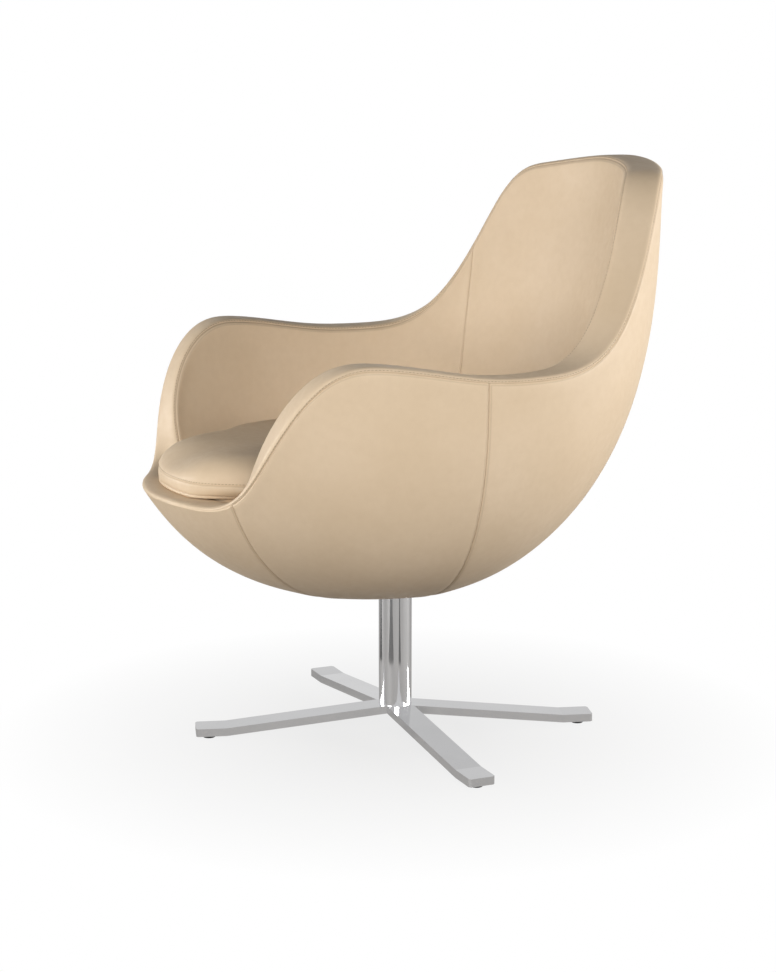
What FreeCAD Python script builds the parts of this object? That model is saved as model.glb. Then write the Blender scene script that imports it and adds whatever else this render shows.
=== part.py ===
import FreeCAD, Part
import math
import os

import Sketcher

# Swivel egg chair. Millimetres and degrees. Origin on the floor under the column axis,
# +Z up, the sitter looks towards -Y, the sitter's left hand is on +X.

V = FreeCAD.Vector
doc = FreeCAD.newDocument("egg_chair")
sheet = doc.addObject("Spreadsheet::Sheet", "Sizes")

SIZES = [
    ("column_width", 50.0, "outside of the column tube, sets the scale of the photo"),
    ("column_wall", 3.0, "wall of the column tube"),
    ("column_entry", 11.0, "how far the tube stands inside the underside of the egg"),
    ("column_gap", 5.0, "room round the tube in the underside of the egg"),
    ("crossing_top", 45.0, "top of the leg bars where they meet"),
    ("leg_reach", 304.0, "column axis to the end of a toe"),
    ("leg_width", 40.0, "flat bar, across"),
    ("leg_thick", 12.0, "flat bar, thickness"),
    ("leg_cross", 74.0, "narrow angle of the cross"),
    ("leg_turn", 1.4, "direction of leg one from +X"),
    ("toe_length", 46.0, "level end of each bar"),
    ("toe_chamfer", 3.0, "cut corners of the toe"),
    ("glide_width", 18.0, "floor glide"),
    ("glide_height", 6.0, "floor glide, also the clearance under the toe"),
    ("glide_inset", 20.0, "glide centre from the end of the toe"),
    ("stud_width", 8.0, "stud of the glide in the toe"),
    ("stud_length", 8.0, "stud of the glide in the toe"),
    ("fit_gap", 0.1, "clearance round pushed-in and seated pieces"),
    ("run_gap", 0.06, "radial clearance of the spindle in its bushes"),
    ("spigot_length", 40.0, "hub spigot inside the tube"),
    ("hub_web", 27.0, "hub between bolt recess and thrust washer"),
    ("bolt_clear", 2.5, "room round the retaining bolt in the hub"),
    ("keeper_clear", 1.0, "room round the retaining washer in the hub"),
    ("end_float", 0.4, "lift of the spindle before the retaining washer stops it"),
    ("thrust_thick", 3.0, "thrust washer under the spindle"),
    ("spindle_width", 30.0, "swivel spindle"),
    ("collar_width", 46.0, "collar under the mounting plate"),
    ("collar_gap", 7.0, "room between upper bush and collar"),
    ("bush_length", 30.0, "plain bush in the tube"),
    ("bush_lift", 4.0, "lower bush above the thrust washer"),
    ("bush_flange", 3.0, "flange of the upper bush on top of the tube"),
    ("bolt_width", 12.0, "retaining bolt"),
    ("bolt_head", 20.8, "retaining bolt head over corners"),
    ("bolt_head_high", 7.5, "retaining bolt head height"),
    ("bolt_grip", 20.0, "retaining bolt length inside the spindle"),
    ("bolt_runout", 4.0, "tapped hole past the end of the bolt"),
    ("keeper_width", 26.0, "washer on the retaining bolt"),
    ("keeper_thick", 3.0, "same washer, thickness"),
    ("plate_width", 160.0, "round mounting plate"),
    ("plate_thick", 6.0, "mounting plate"),
    ("plate_bolt_edge", 20.0, "plate bolts from the edge of the plate"),
    ("plate_bolt", 8.0, "plate bolts"),
    ("plate_bolt_clear", 0.3, "clearance round the plate bolts"),
    ("plate_bolt_head", 15.0, "plate bolt head and nut over corners"),
    ("plate_bolt_head_high", 5.3, "plate bolt head height"),
    ("plate_nut_high", 6.5, "plate nut height"),
    ("plate_bolt_end", 1.5, "bolt past its nut"),
    ("land_rise", 54.0, "flat land of the moulded shell above the lowest skin"),
    ("land_margin", 30.0, "land past the edge of the plate"),
    ("land_ease", 80.0, "width over which the moulded shell leaves the land"),
    ("shell_bottom", 229.0, "lowest point of the outer skin above the floor"),
    ("reach_front", 455.0, "radius of the egg towards the front"),
    ("reach_side", 352.0, "radius of the egg at the sides"),
    ("reach_back", 390.0, "radius of the egg at the back"),
    ("corner_swell", -28.5, "third shape term of the plan"),
    ("rise_front", 519.0, "height over which the front section swells"),
    ("rise_side", 357.0, "same at the sides"),
    ("rise_back", 681.0, "same at the back"),
    ("upright_front", 2.19, "exponent along the height, front"),
    ("upright_back", 3.09, "exponent along the height, back"),
    ("belly_front", 3.01, "exponent along the radius, front"),
    ("belly_back", 1.69, "exponent along the radius, back"),
    ("rim_width", 51.0, "width of the padded rim band"),
    ("rim_crown", 4.0, "crown of the rim band"),
    ("rim_seam", 0.7, "gap between the band and the layers under it"),
    ("band_turn_start", 12.0, "angle where the band starts to turn across the arm"),
    ("band_turn_end", 48.0, "angle where the band lies across the arm"),
    ("band_ease", 20.0, "half angle over which the band follows the radius again"),
    ("lip_rise", 167.0, "front lip above the lowest skin"),
    ("lip_flat", 27.0, "half angle of the level lip"),
    ("lip_lift", 215.0, "climb of the lip towards the arms"),
    ("arm_foot", 33.0, "angle where the arm front starts to climb"),
    ("arm_head", 61.0, "angle where the arm front ends"),
    ("arm_rise", 376.0, "top of the arm at the front above the lowest skin"),
    ("arm_dip", 24.0, "fall of the arm top behind its front"),
    ("dip_angle", 95.0, "angle of the lowest place of the arm top"),
    ("back_foot", 92.0, "angle where the back starts to climb"),
    ("back_shoulder", 149.5, "angle of the upper corner of the back"),
    ("back_sweep", 2.3, "power of the sweep from arm to back, higher climbs later"),
    ("back_rise", 631.0, "middle of the back above the lowest skin"),
    ("back_arch", 26.0, "fall from the middle of the back to its corners"),
    ("arch_angle", 135.0, "angle where the top edge starts to arch"),
    ("deck_rise", 4.5, "seat deck above the front lip"),
    ("front_padding", 135.0, "deck corner behind the front of the egg"),
    ("arm_padding", 96.0, "deck corner inside the side of the egg"),
    ("back_padding", 155.0, "deck corner inside the back of the egg"),
    ("deck_edge", 6.0, "least distance of the deck corner from the inner rim"),
    ("deck_bend", 20.0, "start of the bend from deck to wall"),
    ("leather", 1.5, "upholstery leather"),
    ("layer_gap", 0.5, "glue line between layers"),
    ("outer_foam", 10.0, "foam between leather and moulded shell"),
    ("lip_drop", 1.2, "end of the seat foam below the leather, clear of the rim band"),
    ("mould_thick", 8.0, "moulded structural shell"),
    ("mould_top", 0.97, "share of the section that the moulded shell reaches"),
    ("bolt_room", 2.0, "room past the heads and ends of the plate bolts"),
    ("side_seam", 88.3, "angle of the stitched side seam"),
    ("inner_seam", 135.0, "angle of the seam between inner back and inner arm"),
    ("front_seam", 31.0, "angle of the front seam"),
    ("seam_half", 0.1, "half of the seam gap, as an angle"),
    ("plug_thick", 10.0, "plug in the middle of the deck"),
    ("plug_gap", 0.7, "room round the plug"),
    ("cushion_seat", 0.5, "loose cushion above the deck"),
    ("cushion_setback", 26.0, "cushion front behind the edge of the lip"),
    ("cushion_gap", 14.0, "cushion side inside the deck corner"),
    ("tongue_start", 8.0, "angle where the cushion leaves the line of the lip"),
    ("tongue_end", 36.0, "angle where it follows the deck corner"),
    ("cushion_centre", 65.0, "point before the axis about which the cushion draws in"),
    ("cushion_high", 50.0, "height of the cushion in its middle"),
    ("cushion_waist", 16.0, "height of the widest line of the cushion"),
    ("sole_draw", 50.0, "draw-in of the underside beside the walls"),
    ("crown_power", 7.0, "fullness of the crown"),
    ("border_low", 3.5, "bottom seam of the cushion above its underside"),
    ("border_high", 18.0, "top seam of the cushion above its underside"),
    ("seam_gap", 0.3, "gap between the sewn pieces of the cushion cover"),
    ("zip_length", 260.0, "zip in the rear border"),
    ("zip_high", 7.0, "height of the zip"),
]

for row, (alias, value, note) in enumerate(SIZES, start=1):
    sheet.set("A%d" % row, alias)
    sheet.set("B%d" % row, repr(value))
    sheet.set("C%d" % row, note)
    sheet.setAlias("B%d" % row, alias)
doc.recompute()


VALUES = {alias: float(sheet.get(alias)) for alias, value, note in SIZES}


def size(alias):
    return VALUES[alias]


def value_of(expression):
    return float(sheet.evalExpression(expression))


def bind(obj, prop, expression):
    obj.setExpression(prop, expression)


def cylinder(label, radius, height, bottom, x=None, y=None):
    obj = doc.addObject("Part::Cylinder", label)
    bind(obj, "Radius", radius)
    bind(obj, "Height", height)
    bind(obj, "Placement.Base.z", bottom)
    if x is not None:
        bind(obj, "Placement.Base.x", x)
        bind(obj, "Placement.Base.y", y)
    return obj


def hexagon(label, corners, height, bottom, x=None, y=None):
    obj = doc.addObject("Part::Prism", label)
    obj.Polygon = 6
    bind(obj, "Circumradius", corners)
    bind(obj, "Height", height)
    bind(obj, "Placement.Base.z", bottom)
    if x is not None:
        bind(obj, "Placement.Base.x", x)
        bind(obj, "Placement.Base.y", y)
    return obj


def join(label, *shapes):
    obj = doc.addObject("Part::MultiFuse", label)
    obj.Shapes = list(shapes)
    return obj


def cut(label, base, tool):
    obj = doc.addObject("Part::Cut", label)
    obj.Base = base
    obj.Tool = tool
    return obj


def group(label, members):
    obj = doc.addObject("Part::Compound", label)
    obj.Links = members
    return obj


def origin_plane(body, name):
    for feature in body.Origin.OriginFeatures:
        if feature.Name.startswith(name):
            return feature
    raise ValueError(name)


def outline_sketch(body, label, plane, corners):
    """Closed outline; every corner is tied to the sheet by its two distances from the origin."""
    sketch = body.newObject("Sketcher::SketchObject", label)
    sketch.AttachmentSupport = [(origin_plane(body, plane), "")]
    sketch.MapMode = "FlatFace"
    spots = [V(value_of(x), value_of(y), 0) for x, y in corners]
    count = len(spots)
    for i in range(count):
        sketch.addGeometry(Part.LineSegment(spots[i], spots[(i + 1) % count]), False)
    for i in range(count):
        sketch.addConstraint(Sketcher.Constraint("Coincident", i, 2, (i + 1) % count, 1))
    for i, (x, y) in enumerate(corners):
        pin(sketch, i, "DistanceX", -2, spots[i].x, x)
        pin(sketch, i, "DistanceY", -1, spots[i].y, y)
    return sketch


def pin(sketch, line, kind, axis, value, expression):
    if abs(value) < 1e-9:
        sketch.addConstraint(Sketcher.Constraint("PointOnObject", line, 1, axis))
        return
    if value > 0:
        index = sketch.addConstraint(Sketcher.Constraint(kind, -1, 1, line, 1, value))
        sketch.setExpression("Constraints[%d]" % index, expression)
    else:
        index = sketch.addConstraint(Sketcher.Constraint(kind, line, 1, -1, 1, -value))
        sketch.setExpression("Constraints[%d]" % index, "-(%s)" % expression)


def turned(label, corners):
    """A turned piece: half section in radius and height, spun about the column axis."""
    body = doc.addObject("PartDesign::Body", label)
    sketch = outline_sketch(body, label + "_section", "XZ_Plane", corners)
    spin = body.newObject("PartDesign::Revolution", label + "_turn")
    spin.Profile = sketch
    spin.ReferenceAxis = (sketch, ["V_Axis"])
    spin.Angle = 360.0
    body.Tip = spin
    return body


# Base: four flat bars round a turned hub, the tube, its bushes and the floor glides.

def leg(label, direction, left_half, right_half):
    rise = "Sizes.crossing_top"
    drop = "(Sizes.crossing_top - Sizes.leg_thick)"
    knee = "(Sizes.leg_reach - Sizes.toe_length)"
    toe = "(Sizes.glide_height + Sizes.leg_thick)"
    sole = "Sizes.glide_height"
    bar = doc.addObject("PartDesign::Body", label + "_bar")
    side = outline_sketch(bar, label + "_side", "XZ_Plane", [
        ("0", drop), (knee, sole), ("Sizes.leg_reach", sole),
        ("Sizes.leg_reach", toe), (knee, toe), ("0", rise)])
    pad = bar.newObject("PartDesign::Pad", label + "_pad")
    pad.Profile = side
    pad.SideType = "Symmetric"
    bind(pad, "Length", "Sizes.leg_width")
    bar.Tip = pad
    wide = "Sizes.leg_width / 2"
    plan = doc.addObject("PartDesign::Body", label + "_plan")
    view = outline_sketch(plan, label + "_mitre", "XY_Plane", [
        ("0", "0"),
        ("%s / tan(%s * 1 deg)" % (wide, right_half), "-(%s)" % wide),
        ("Sizes.leg_reach - Sizes.toe_chamfer", "-(%s)" % wide),
        ("Sizes.leg_reach", "-(%s - Sizes.toe_chamfer)" % wide),
        ("Sizes.leg_reach", "%s - Sizes.toe_chamfer" % wide),
        ("Sizes.leg_reach - Sizes.toe_chamfer", wide),
        ("%s / tan(%s * 1 deg)" % (wide, left_half), wide)])
    block = plan.newObject("PartDesign::Pad", label + "_block")
    block.Profile = view
    bind(block, "Length", "Sizes.crossing_top")
    plan.Tip = block
    shape = doc.addObject("Part::MultiCommon", label + "_blank")
    shape.Shapes = [bar, plan]
    core = cylinder(label + "_core", "Sizes.column_width / 2 + Sizes.fit_gap",
                    "Sizes.crossing_top", "0")
    stud = cylinder(label + "_stud", "Sizes.stud_width / 2 + Sizes.fit_gap",
                    "Sizes.stud_length + Sizes.fit_gap", "Sizes.glide_height",
                    "Sizes.leg_reach - Sizes.glide_inset", "0")
    done = cut(label, shape, join(label + "_holes", core, stud))
    done.Placement = FreeCAD.Placement(V(0, 0, 0), FreeCAD.Rotation(V(0, 0, 1), value_of(direction)))
    bind(done, "Placement.Rotation.Angle", direction)
    return done


def glide(label, direction):
    x = "(Sizes.leg_reach - Sizes.glide_inset) * cos(%s * 1 deg)" % direction
    y = "(Sizes.leg_reach - Sizes.glide_inset) * sin(%s * 1 deg)" % direction
    foot = cylinder(label + "_foot", "Sizes.glide_width / 2", "Sizes.glide_height", "0", x, y)
    stud = cylinder(label + "_pin", "Sizes.stud_width / 2", "Sizes.stud_length",
                    "Sizes.glide_height", x, y)
    return join(label, foot, stud)


NARROW = "Sizes.leg_cross / 2"
BROAD = "(90 - Sizes.leg_cross / 2)"
TURN = "Sizes.leg_turn"
leg_turns = [
    ("leg_1", TURN, NARROW, BROAD),
    ("leg_2", "(%s + Sizes.leg_cross)" % TURN, BROAD, NARROW),
    ("leg_3", "(%s + 180)" % TURN, NARROW, BROAD),
    ("leg_4", "(%s + Sizes.leg_cross + 180)" % TURN, BROAD, NARROW),
]
nodes = []
for label, direction, left_half, right_half in leg_turns:
    nodes.append(leg(label, direction, left_half, right_half))
for label, direction, left_half, right_half in leg_turns:
    nodes.append(glide(label.replace("leg", "glide"), direction))

BORE = "(Sizes.column_width / 2 - Sizes.column_wall)"
PRESSED = "(%s - Sizes.fit_gap)" % BORE
UNDER = "(Sizes.crossing_top - Sizes.leg_thick)"
TUBE_TOP = "(Sizes.shell_bottom + Sizes.column_entry)"
SPIGOT_TOP = "(Sizes.crossing_top + Sizes.spigot_length)"
RECESS_TOP = "(%s - Sizes.hub_web)" % SPIGOT_TOP
RECESS = "(Sizes.keeper_width / 2 + Sizes.keeper_clear)"
HUB_BORE = "(Sizes.bolt_width / 2 + Sizes.bolt_clear)"
THRUST_TOP = "(%s + Sizes.thrust_thick)" % SPIGOT_TOP
nodes.append(turned("hub", [
    (RECESS, UNDER),
    ("Sizes.column_width / 2", UNDER),
    ("Sizes.column_width / 2", "Sizes.crossing_top"),
    (PRESSED, "Sizes.crossing_top"),
    (PRESSED, SPIGOT_TOP),
    (HUB_BORE, SPIGOT_TOP),
    (HUB_BORE, RECESS_TOP),
    (RECESS, RECESS_TOP)]))
nodes.append(turned("column_tube", [
    (BORE, "Sizes.crossing_top"),
    ("Sizes.column_width / 2", "Sizes.crossing_top"),
    ("Sizes.column_width / 2", TUBE_TOP),
    (BORE, TUBE_TOP)]))
BUSH_IN = "(Sizes.spindle_width / 2 + Sizes.run_gap)"
BUSH_FOOT = "(%s + Sizes.bush_lift)" % THRUST_TOP
nodes.append(turned("lower_bush", [
    (BUSH_IN, BUSH_FOOT),
    (PRESSED, BUSH_FOOT),
    (PRESSED, BUSH_FOOT + " + Sizes.bush_length"),
    (BUSH_IN, BUSH_FOOT + " + Sizes.bush_length")]))
FLANGE_TOP = "(%s + Sizes.bush_flange)" % TUBE_TOP
nodes.append(turned("upper_bush", [
    (BUSH_IN, TUBE_TOP + " - Sizes.bush_length"),
    (PRESSED, TUBE_TOP + " - Sizes.bush_length"),
    (PRESSED, TUBE_TOP),
    ("Sizes.column_width / 2", TUBE_TOP),
    ("Sizes.column_width / 2", FLANGE_TOP),
    (BUSH_IN, FLANGE_TOP)]))
nodes.append(turned("thrust_washer", [
    (HUB_BORE, SPIGOT_TOP),
    (PRESSED, SPIGOT_TOP),
    (PRESSED, THRUST_TOP),
    (HUB_BORE, THRUST_TOP)]))

# Swivel: spindle, retaining bolt and washer, mounting plate with its bolts and nuts.

LAND = "(Sizes.shell_bottom + Sizes.land_rise)"
PLATE_TOP = "(%s - Sizes.fit_gap)" % LAND
PLATE_UNDER = "(%s - Sizes.plate_thick)" % PLATE_TOP
COLLAR_UNDER = "(%s + Sizes.collar_gap)" % FLANGE_TOP
SPINDLE_END = "(%s + Sizes.fit_gap)" % THRUST_TOP
TAPPED = "(Sizes.bolt_width / 2 + Sizes.fit_gap / 2)"
TAPPED_TOP = "(%s + Sizes.bolt_grip + Sizes.bolt_runout)" % SPINDLE_END
nodes.append(turned("spindle", [
    (TAPPED, SPINDLE_END),
    ("Sizes.spindle_width / 2", SPINDLE_END),
    ("Sizes.spindle_width / 2", COLLAR_UNDER),
    ("Sizes.collar_width / 2", COLLAR_UNDER),
    ("Sizes.collar_width / 2", PLATE_UNDER),
    ("Sizes.spindle_width / 2", PLATE_UNDER),
    ("Sizes.spindle_width / 2", PLATE_TOP),
    ("0", PLATE_TOP),
    ("0", TAPPED_TOP),
    (TAPPED, TAPPED_TOP)]))
KEEPER_TOP = "(%s - Sizes.end_float)" % RECESS_TOP
HEAD_TOP = "(%s - Sizes.keeper_thick)" % KEEPER_TOP
nodes.append(turned("retaining_washer", [
    (TAPPED, HEAD_TOP),
    ("Sizes.keeper_width / 2", HEAD_TOP),
    ("Sizes.keeper_width / 2", KEEPER_TOP),
    (TAPPED, KEEPER_TOP)]))
nodes.append(join(
    "retaining_bolt",
    hexagon("retaining_head", "Sizes.bolt_head / 2", "Sizes.bolt_head_high",
            HEAD_TOP + " - Sizes.bolt_head_high"),
    cylinder("retaining_shank", "Sizes.bolt_width / 2",
             SPINDLE_END + " + Sizes.bolt_grip - " + HEAD_TOP, HEAD_TOP)))

BOLT_RING = "(Sizes.plate_width / 2 - Sizes.plate_bolt_edge)"
BOLT_HOLE = "(Sizes.plate_bolt / 2 + Sizes.plate_bolt_clear)"
plate = doc.addObject("PartDesign::Body", "mount_plate")
disc = plate.newObject("Sketcher::SketchObject", "plate_disc")
disc.AttachmentSupport = [(origin_plane(plate, "XY_Plane"), "")]
disc.MapMode = "FlatFace"
bind(disc, "AttachmentOffset.Base.z", PLATE_UNDER)
disc.addGeometry(Part.Circle(V(0, 0, 0), V(0, 0, 1), size("plate_width") / 2), False)
disc.addGeometry(Part.Circle(V(0, 0, 0), V(0, 0, 1), size("spindle_width") / 2), False)
for ring, rule in ((0, "Sizes.plate_width / 2"), (1, "Sizes.spindle_width / 2 + Sizes.fit_gap")):
    disc.addConstraint(Sketcher.Constraint("Coincident", ring, 3, -1, 1))
    index = disc.addConstraint(Sketcher.Constraint("Radius", ring, value_of(rule)))
    disc.setExpression("Constraints[%d]" % index, rule)
plate_pad = plate.newObject("PartDesign::Pad", "plate_pad")
plate_pad.Profile = disc
bind(plate_pad, "Length", "Sizes.plate_thick")
hole = plate.newObject("Sketcher::SketchObject", "plate_hole")
hole.AttachmentSupport = [(origin_plane(plate, "XY_Plane"), "")]
hole.MapMode = "FlatFace"
bind(hole, "AttachmentOffset.Base.z", PLATE_UNDER)
hole.addGeometry(Part.Circle(V(value_of(BOLT_RING), 0, 0), V(0, 0, 1), value_of(BOLT_HOLE)), False)
hole.addConstraint(Sketcher.Constraint("PointOnObject", 0, 3, -1))
index = hole.addConstraint(Sketcher.Constraint("DistanceX", -1, 1, 0, 3, value_of(BOLT_RING)))
hole.setExpression("Constraints[%d]" % index, BOLT_RING)
index = hole.addConstraint(Sketcher.Constraint("Radius", 0, value_of(BOLT_HOLE)))
hole.setExpression("Constraints[%d]" % index, BOLT_HOLE)
plate_pocket = plate.newObject("PartDesign::Pocket", "plate_pocket")
plate_pocket.Profile = hole
plate_pocket.Reversed = True
bind(plate_pocket, "Length", "Sizes.plate_thick")
ring = plate.newObject("PartDesign::PolarPattern", "plate_holes")
ring.Originals = [plate_pocket]
ring.Axis = (hole, ["N_Axis"])
ring.Angle = 360.0
ring.Occurrences = 4
plate.Tip = ring
nodes.append(plate)

QUARTERS = [(BOLT_RING, "0"), ("0", BOLT_RING), ("-" + BOLT_RING, "0"), ("0", "-" + BOLT_RING)]
NUT_UNDER = "(%s + Sizes.mould_thick + Sizes.fit_gap)" % LAND
bolts = []
nuts = []
for number, (x, y) in enumerate(QUARTERS, start=1):
    head = hexagon("plate_head_%d" % number, "Sizes.plate_bolt_head / 2", "Sizes.plate_bolt_head_high",
                   PLATE_UNDER + " - Sizes.plate_bolt_head_high", x, y)
    shank = cylinder("plate_shank_%d" % number, "Sizes.plate_bolt / 2",
                     NUT_UNDER + " + Sizes.plate_nut_high + Sizes.plate_bolt_end - " + PLATE_UNDER,
                     PLATE_UNDER, x, y)
    bolts.append(join("plate_bolt_%d" % number, head, shank))
    block = hexagon("nut_block_%d" % number, "Sizes.plate_bolt_head / 2", "Sizes.plate_nut_high",
                    NUT_UNDER, x, y)
    bore = cylinder("nut_bore_%d" % number, "Sizes.plate_bolt / 2 + Sizes.fit_gap / 2",
                    "Sizes.plate_nut_high", NUT_UNDER, x, y)
    nuts.append(cut("plate_nut_%d" % number, block, bore))
nodes.append(group("mount_bolts", bolts))
nodes.append(group("mount_nuts", nuts))
DECK = "(Sizes.shell_bottom + Sizes.lip_rise + Sizes.deck_rise)"
nodes.append(cylinder("deck_plug", "Sizes.column_width / 2 + Sizes.column_gap - Sizes.plug_gap",
                      "Sizes.plug_thick", DECK + " - Sizes.plug_thick"))
doc.recompute()

# Upholstered egg. The outer skin and the inner skin are worked out as sections at stations round
# the column; every layer lies a given distance along the line from outer to inner skin.

def smooth(share):
    share = min(max(share, 0.0), 1.0)
    return share * share * (3.0 - 2.0 * share)


def ramp(angle, start, stop):
    return smooth((angle - start) / (stop - start))


def fold(angle):
    return abs((angle + 180.0) % 360.0 - 180.0)


def around(front, side, back, angle, swell=0.0):
    turn = math.radians(angle)
    mean = (front + back + 2.0 * side) / 4.0
    ahead = (front - back) / 2.0
    oval = (front + back - 2.0 * side) / 4.0
    return (mean + ahead * math.cos(turn) + oval * math.cos(2.0 * turn)
            + swell * math.sin(turn) ** 2 * math.cos(turn))


CENTRE_HOLE = size("column_width") / 2.0 + size("column_gap")
LAND_REACH = size("plate_width") / 2.0 + size("land_margin")
LAND_HEIGHT = size("shell_bottom") + size("land_rise")
DECK_HEIGHT = size("shell_bottom") + size("lip_rise") + size("deck_rise")


def rim_height(angle):
    angle = fold(angle)
    climb = math.sin(math.radians(angle)) ** 2 - math.sin(math.radians(size("lip_flat"))) ** 2
    lip = size("lip_rise") + size("lip_lift") * max(0.0, climb)
    low = size("arm_rise") - size("arm_dip")
    shoulder = size("back_rise") - size("back_arch")
    share = (angle - size("back_foot")) / (size("back_shoulder") - size("back_foot"))
    arm = size("arm_rise") - size("arm_dip") * ramp(angle, size("arm_head"), size("dip_angle"))
    arm += (shoulder - low) * smooth(max(share, 0.0) ** size("back_sweep"))
    arm += size("back_arch") * ramp(angle, size("arch_angle"), 180.0)
    return size("shell_bottom") + lip + (arm - lip) * ramp(angle, size("arm_foot"), size("arm_head"))


def section_shape(angle):
    angle = fold(angle)
    blend = (1.0 - math.cos(math.radians(angle))) / 2.0
    reach = around(size("reach_front"), size("reach_side"), size("reach_back"), angle, size("corner_swell"))
    rise = around(size("rise_front"), size("rise_side"), size("rise_back"), angle)
    upright = size("upright_front") + (size("upright_back") - size("upright_front")) * blend
    belly = size("belly_front") + (size("belly_back") - size("belly_front")) * blend
    return reach, rise, upright, belly


def skin_radius(angle, height):
    reach, rise, upright, belly = section_shape(angle)
    left = abs(1.0 - (height - size("shell_bottom")) / rise)
    return reach * (1.0 - left ** upright) ** (1.0 / belly)


def signed_power(value, power):
    return math.copysign(abs(value) ** power, value)


def skin_height(angle, radius):
    reach, rise, upright, belly = section_shape(angle)
    left = (1.0 - (radius / reach) ** belly) ** (1.0 / upright)
    return size("shell_bottom") + rise * (1.0 - left)


def polar(angle, radius, height):
    turn = math.radians(angle)
    return V(radius * math.sin(turn), -radius * math.cos(turn), height)


def outer_rim(angle):
    height = rim_height(angle)
    return polar(angle, skin_radius(angle, height), height)


def band_direction(angle):
    side = 1.0 if (angle + 180.0) % 360.0 >= 180.0 else -1.0
    angle = fold(angle)
    ease = size("band_ease")
    if angle < 90.0 - ease:
        facing = 90.0 * ramp(angle, size("band_turn_start"), size("band_turn_end"))
    elif angle < 90.0 + ease:
        facing = 90.0 + (angle - 90.0 + ease) ** 2 / (4.0 * ease)
    else:
        facing = angle
    turn = math.radians(facing)
    return V(-side * math.sin(turn), math.cos(turn), 0)


def inner_rim(angle):
    return outer_rim(angle) + band_direction(angle) * size("rim_width")


NEARBY = 0.5


def rim_normal(angle):
    ahead = outer_rim(angle + NEARBY) + inner_rim(angle + NEARBY)
    behind = outer_rim(angle - NEARBY) + inner_rim(angle - NEARBY)
    normal = (ahead - behind).cross(band_direction(angle))
    normal.normalize()
    return normal


def at_shares(points, shares):
    lengths = [0.0]
    for first, second in zip(points, points[1:]):
        lengths.append(lengths[-1] + first.distanceToPoint(second))
    spots = []
    step = 0
    for share in shares:
        goal = share * lengths[-1]
        while step < len(points) - 2 and lengths[step + 1] < goal:
            step += 1
        span = lengths[step + 1] - lengths[step]
        spots.append(points[step] + (points[step + 1] - points[step]) * ((goal - lengths[step]) / span))
    return spots


SHARE_AT_LAND = 0.25
FINE = 240
SINK_POWER = 10
LOW_GUIDE_OUT = 0.25
LOW_GUIDE_UP = 0.30
HIGH_GUIDE_OUT = 0.88
HIGH_GUIDE_UP = 0.72


def spread(ground, wall, shares):
    """Points of one section: the first quarter over the land by radius, the rest by length."""
    near = [ground(CENTRE_HOLE + (LAND_REACH - CENTRE_HOLE) * s / SHARE_AT_LAND)
            for s in shares if s < SHARE_AT_LAND]
    far = [(s - SHARE_AT_LAND) / (1.0 - SHARE_AT_LAND) for s in shares if s >= SHARE_AT_LAND]
    return near + at_shares(wall, far)


def outer_section(angle, shares):
    reach, rise, upright, belly = section_shape(angle)
    top = rim_height(angle)
    start = math.asin((LAND_REACH / reach) ** (belly / 2.0))
    stop = math.acos(signed_power(1.0 - (top - size("shell_bottom")) / rise, upright / 2.0))
    wall = []
    for i in range(FINE + 1):
        share = 1.0 - (1.0 - i / FINE) ** 2
        swing = start + (stop - start) * share
        radius = reach * math.sin(swing) ** (2.0 / belly)
        height = size("shell_bottom") + rise * (1.0 - signed_power(math.cos(swing), 2.0 / upright))
        wall.append(polar(angle, radius, height))

    def ground(radius):
        return polar(angle, radius, skin_height(angle, radius))

    return sink(spread(ground, wall, shares), angle, shares)


def deck_corner(facing):
    return around(size("reach_front") - size("front_padding"), size("reach_side") - size("arm_padding"),
                  size("reach_back") - size("back_padding"), facing)


def inner_section(angle, shares):
    edge = inner_rim(angle)
    radius = math.hypot(edge.x, edge.y)
    facing = math.degrees(math.atan2(edge.x, -edge.y))
    deck = DECK_HEIGHT
    corner = min(radius - size("deck_edge"), deck_corner(facing))
    high = edge.z - deck
    lean = radius - corner
    guides = [(corner - size("deck_bend"), deck),
              (corner + size("deck_edge"), deck),
              (corner + LOW_GUIDE_OUT * lean, deck + LOW_GUIDE_UP * high),
              (corner + HIGH_GUIDE_OUT * lean, deck + HIGH_GUIDE_UP * high),
              (radius, edge.z)]
    bend = Part.BezierCurve()
    bend.setPoles([V(r, 0, z) for r, z in guides])
    line = [V(LAND_REACH, 0, deck)] + [bend.value(i / FINE) for i in range(FINE + 1)]
    wall = [polar(facing, p.x, p.z) for p in line]

    def ground(spot):
        return polar(facing, spot, deck)

    return sink(spread(ground, wall, shares), angle, shares)


def sink(points, angle, shares):
    """Lets the upper end of a section down under the rim band."""
    drop = rim_normal(angle) * (size("leather") + size("rim_seam"))
    return [p - drop * (s ** SINK_POWER) for p, s in zip(points, shares)]


def stations(spans, top):
    step = top / spans
    inner = [step * i for i in range(1, spans)]
    return [0.0, step / 3.0] + inner + [top - step / 3.0, top]


ROUND_SPANS = 30
TALL_SPANS = 20
ROUND_AT = stations(ROUND_SPANS, 180.0)
TALL_AT = stations(TALL_SPANS, 1.0)
ROUND_KNOTS = [180.0 * i / ROUND_SPANS for i in range(ROUND_SPANS + 1)]
TALL_KNOTS = [i / TALL_SPANS for i in range(TALL_SPANS + 1)]
outer_net = [outer_section(angle, TALL_AT) for angle in ROUND_AT]
inner_net = [inner_section(angle, TALL_AT) for angle in ROUND_AT]


def counts(knots):
    return [4] + [1] * (len(knots) - 2) + [4]


def square_ends(net):
    """The first and last pairs of rows leave the middle plane at right angles."""
    for edge, next_row in ((0, 1), (-1, -2)):
        for j, spot in enumerate(net[edge]):
            spot.x = 0.0
            net[next_row][j] = V(net[next_row][j].x, spot.y, spot.z)
    return net


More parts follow.
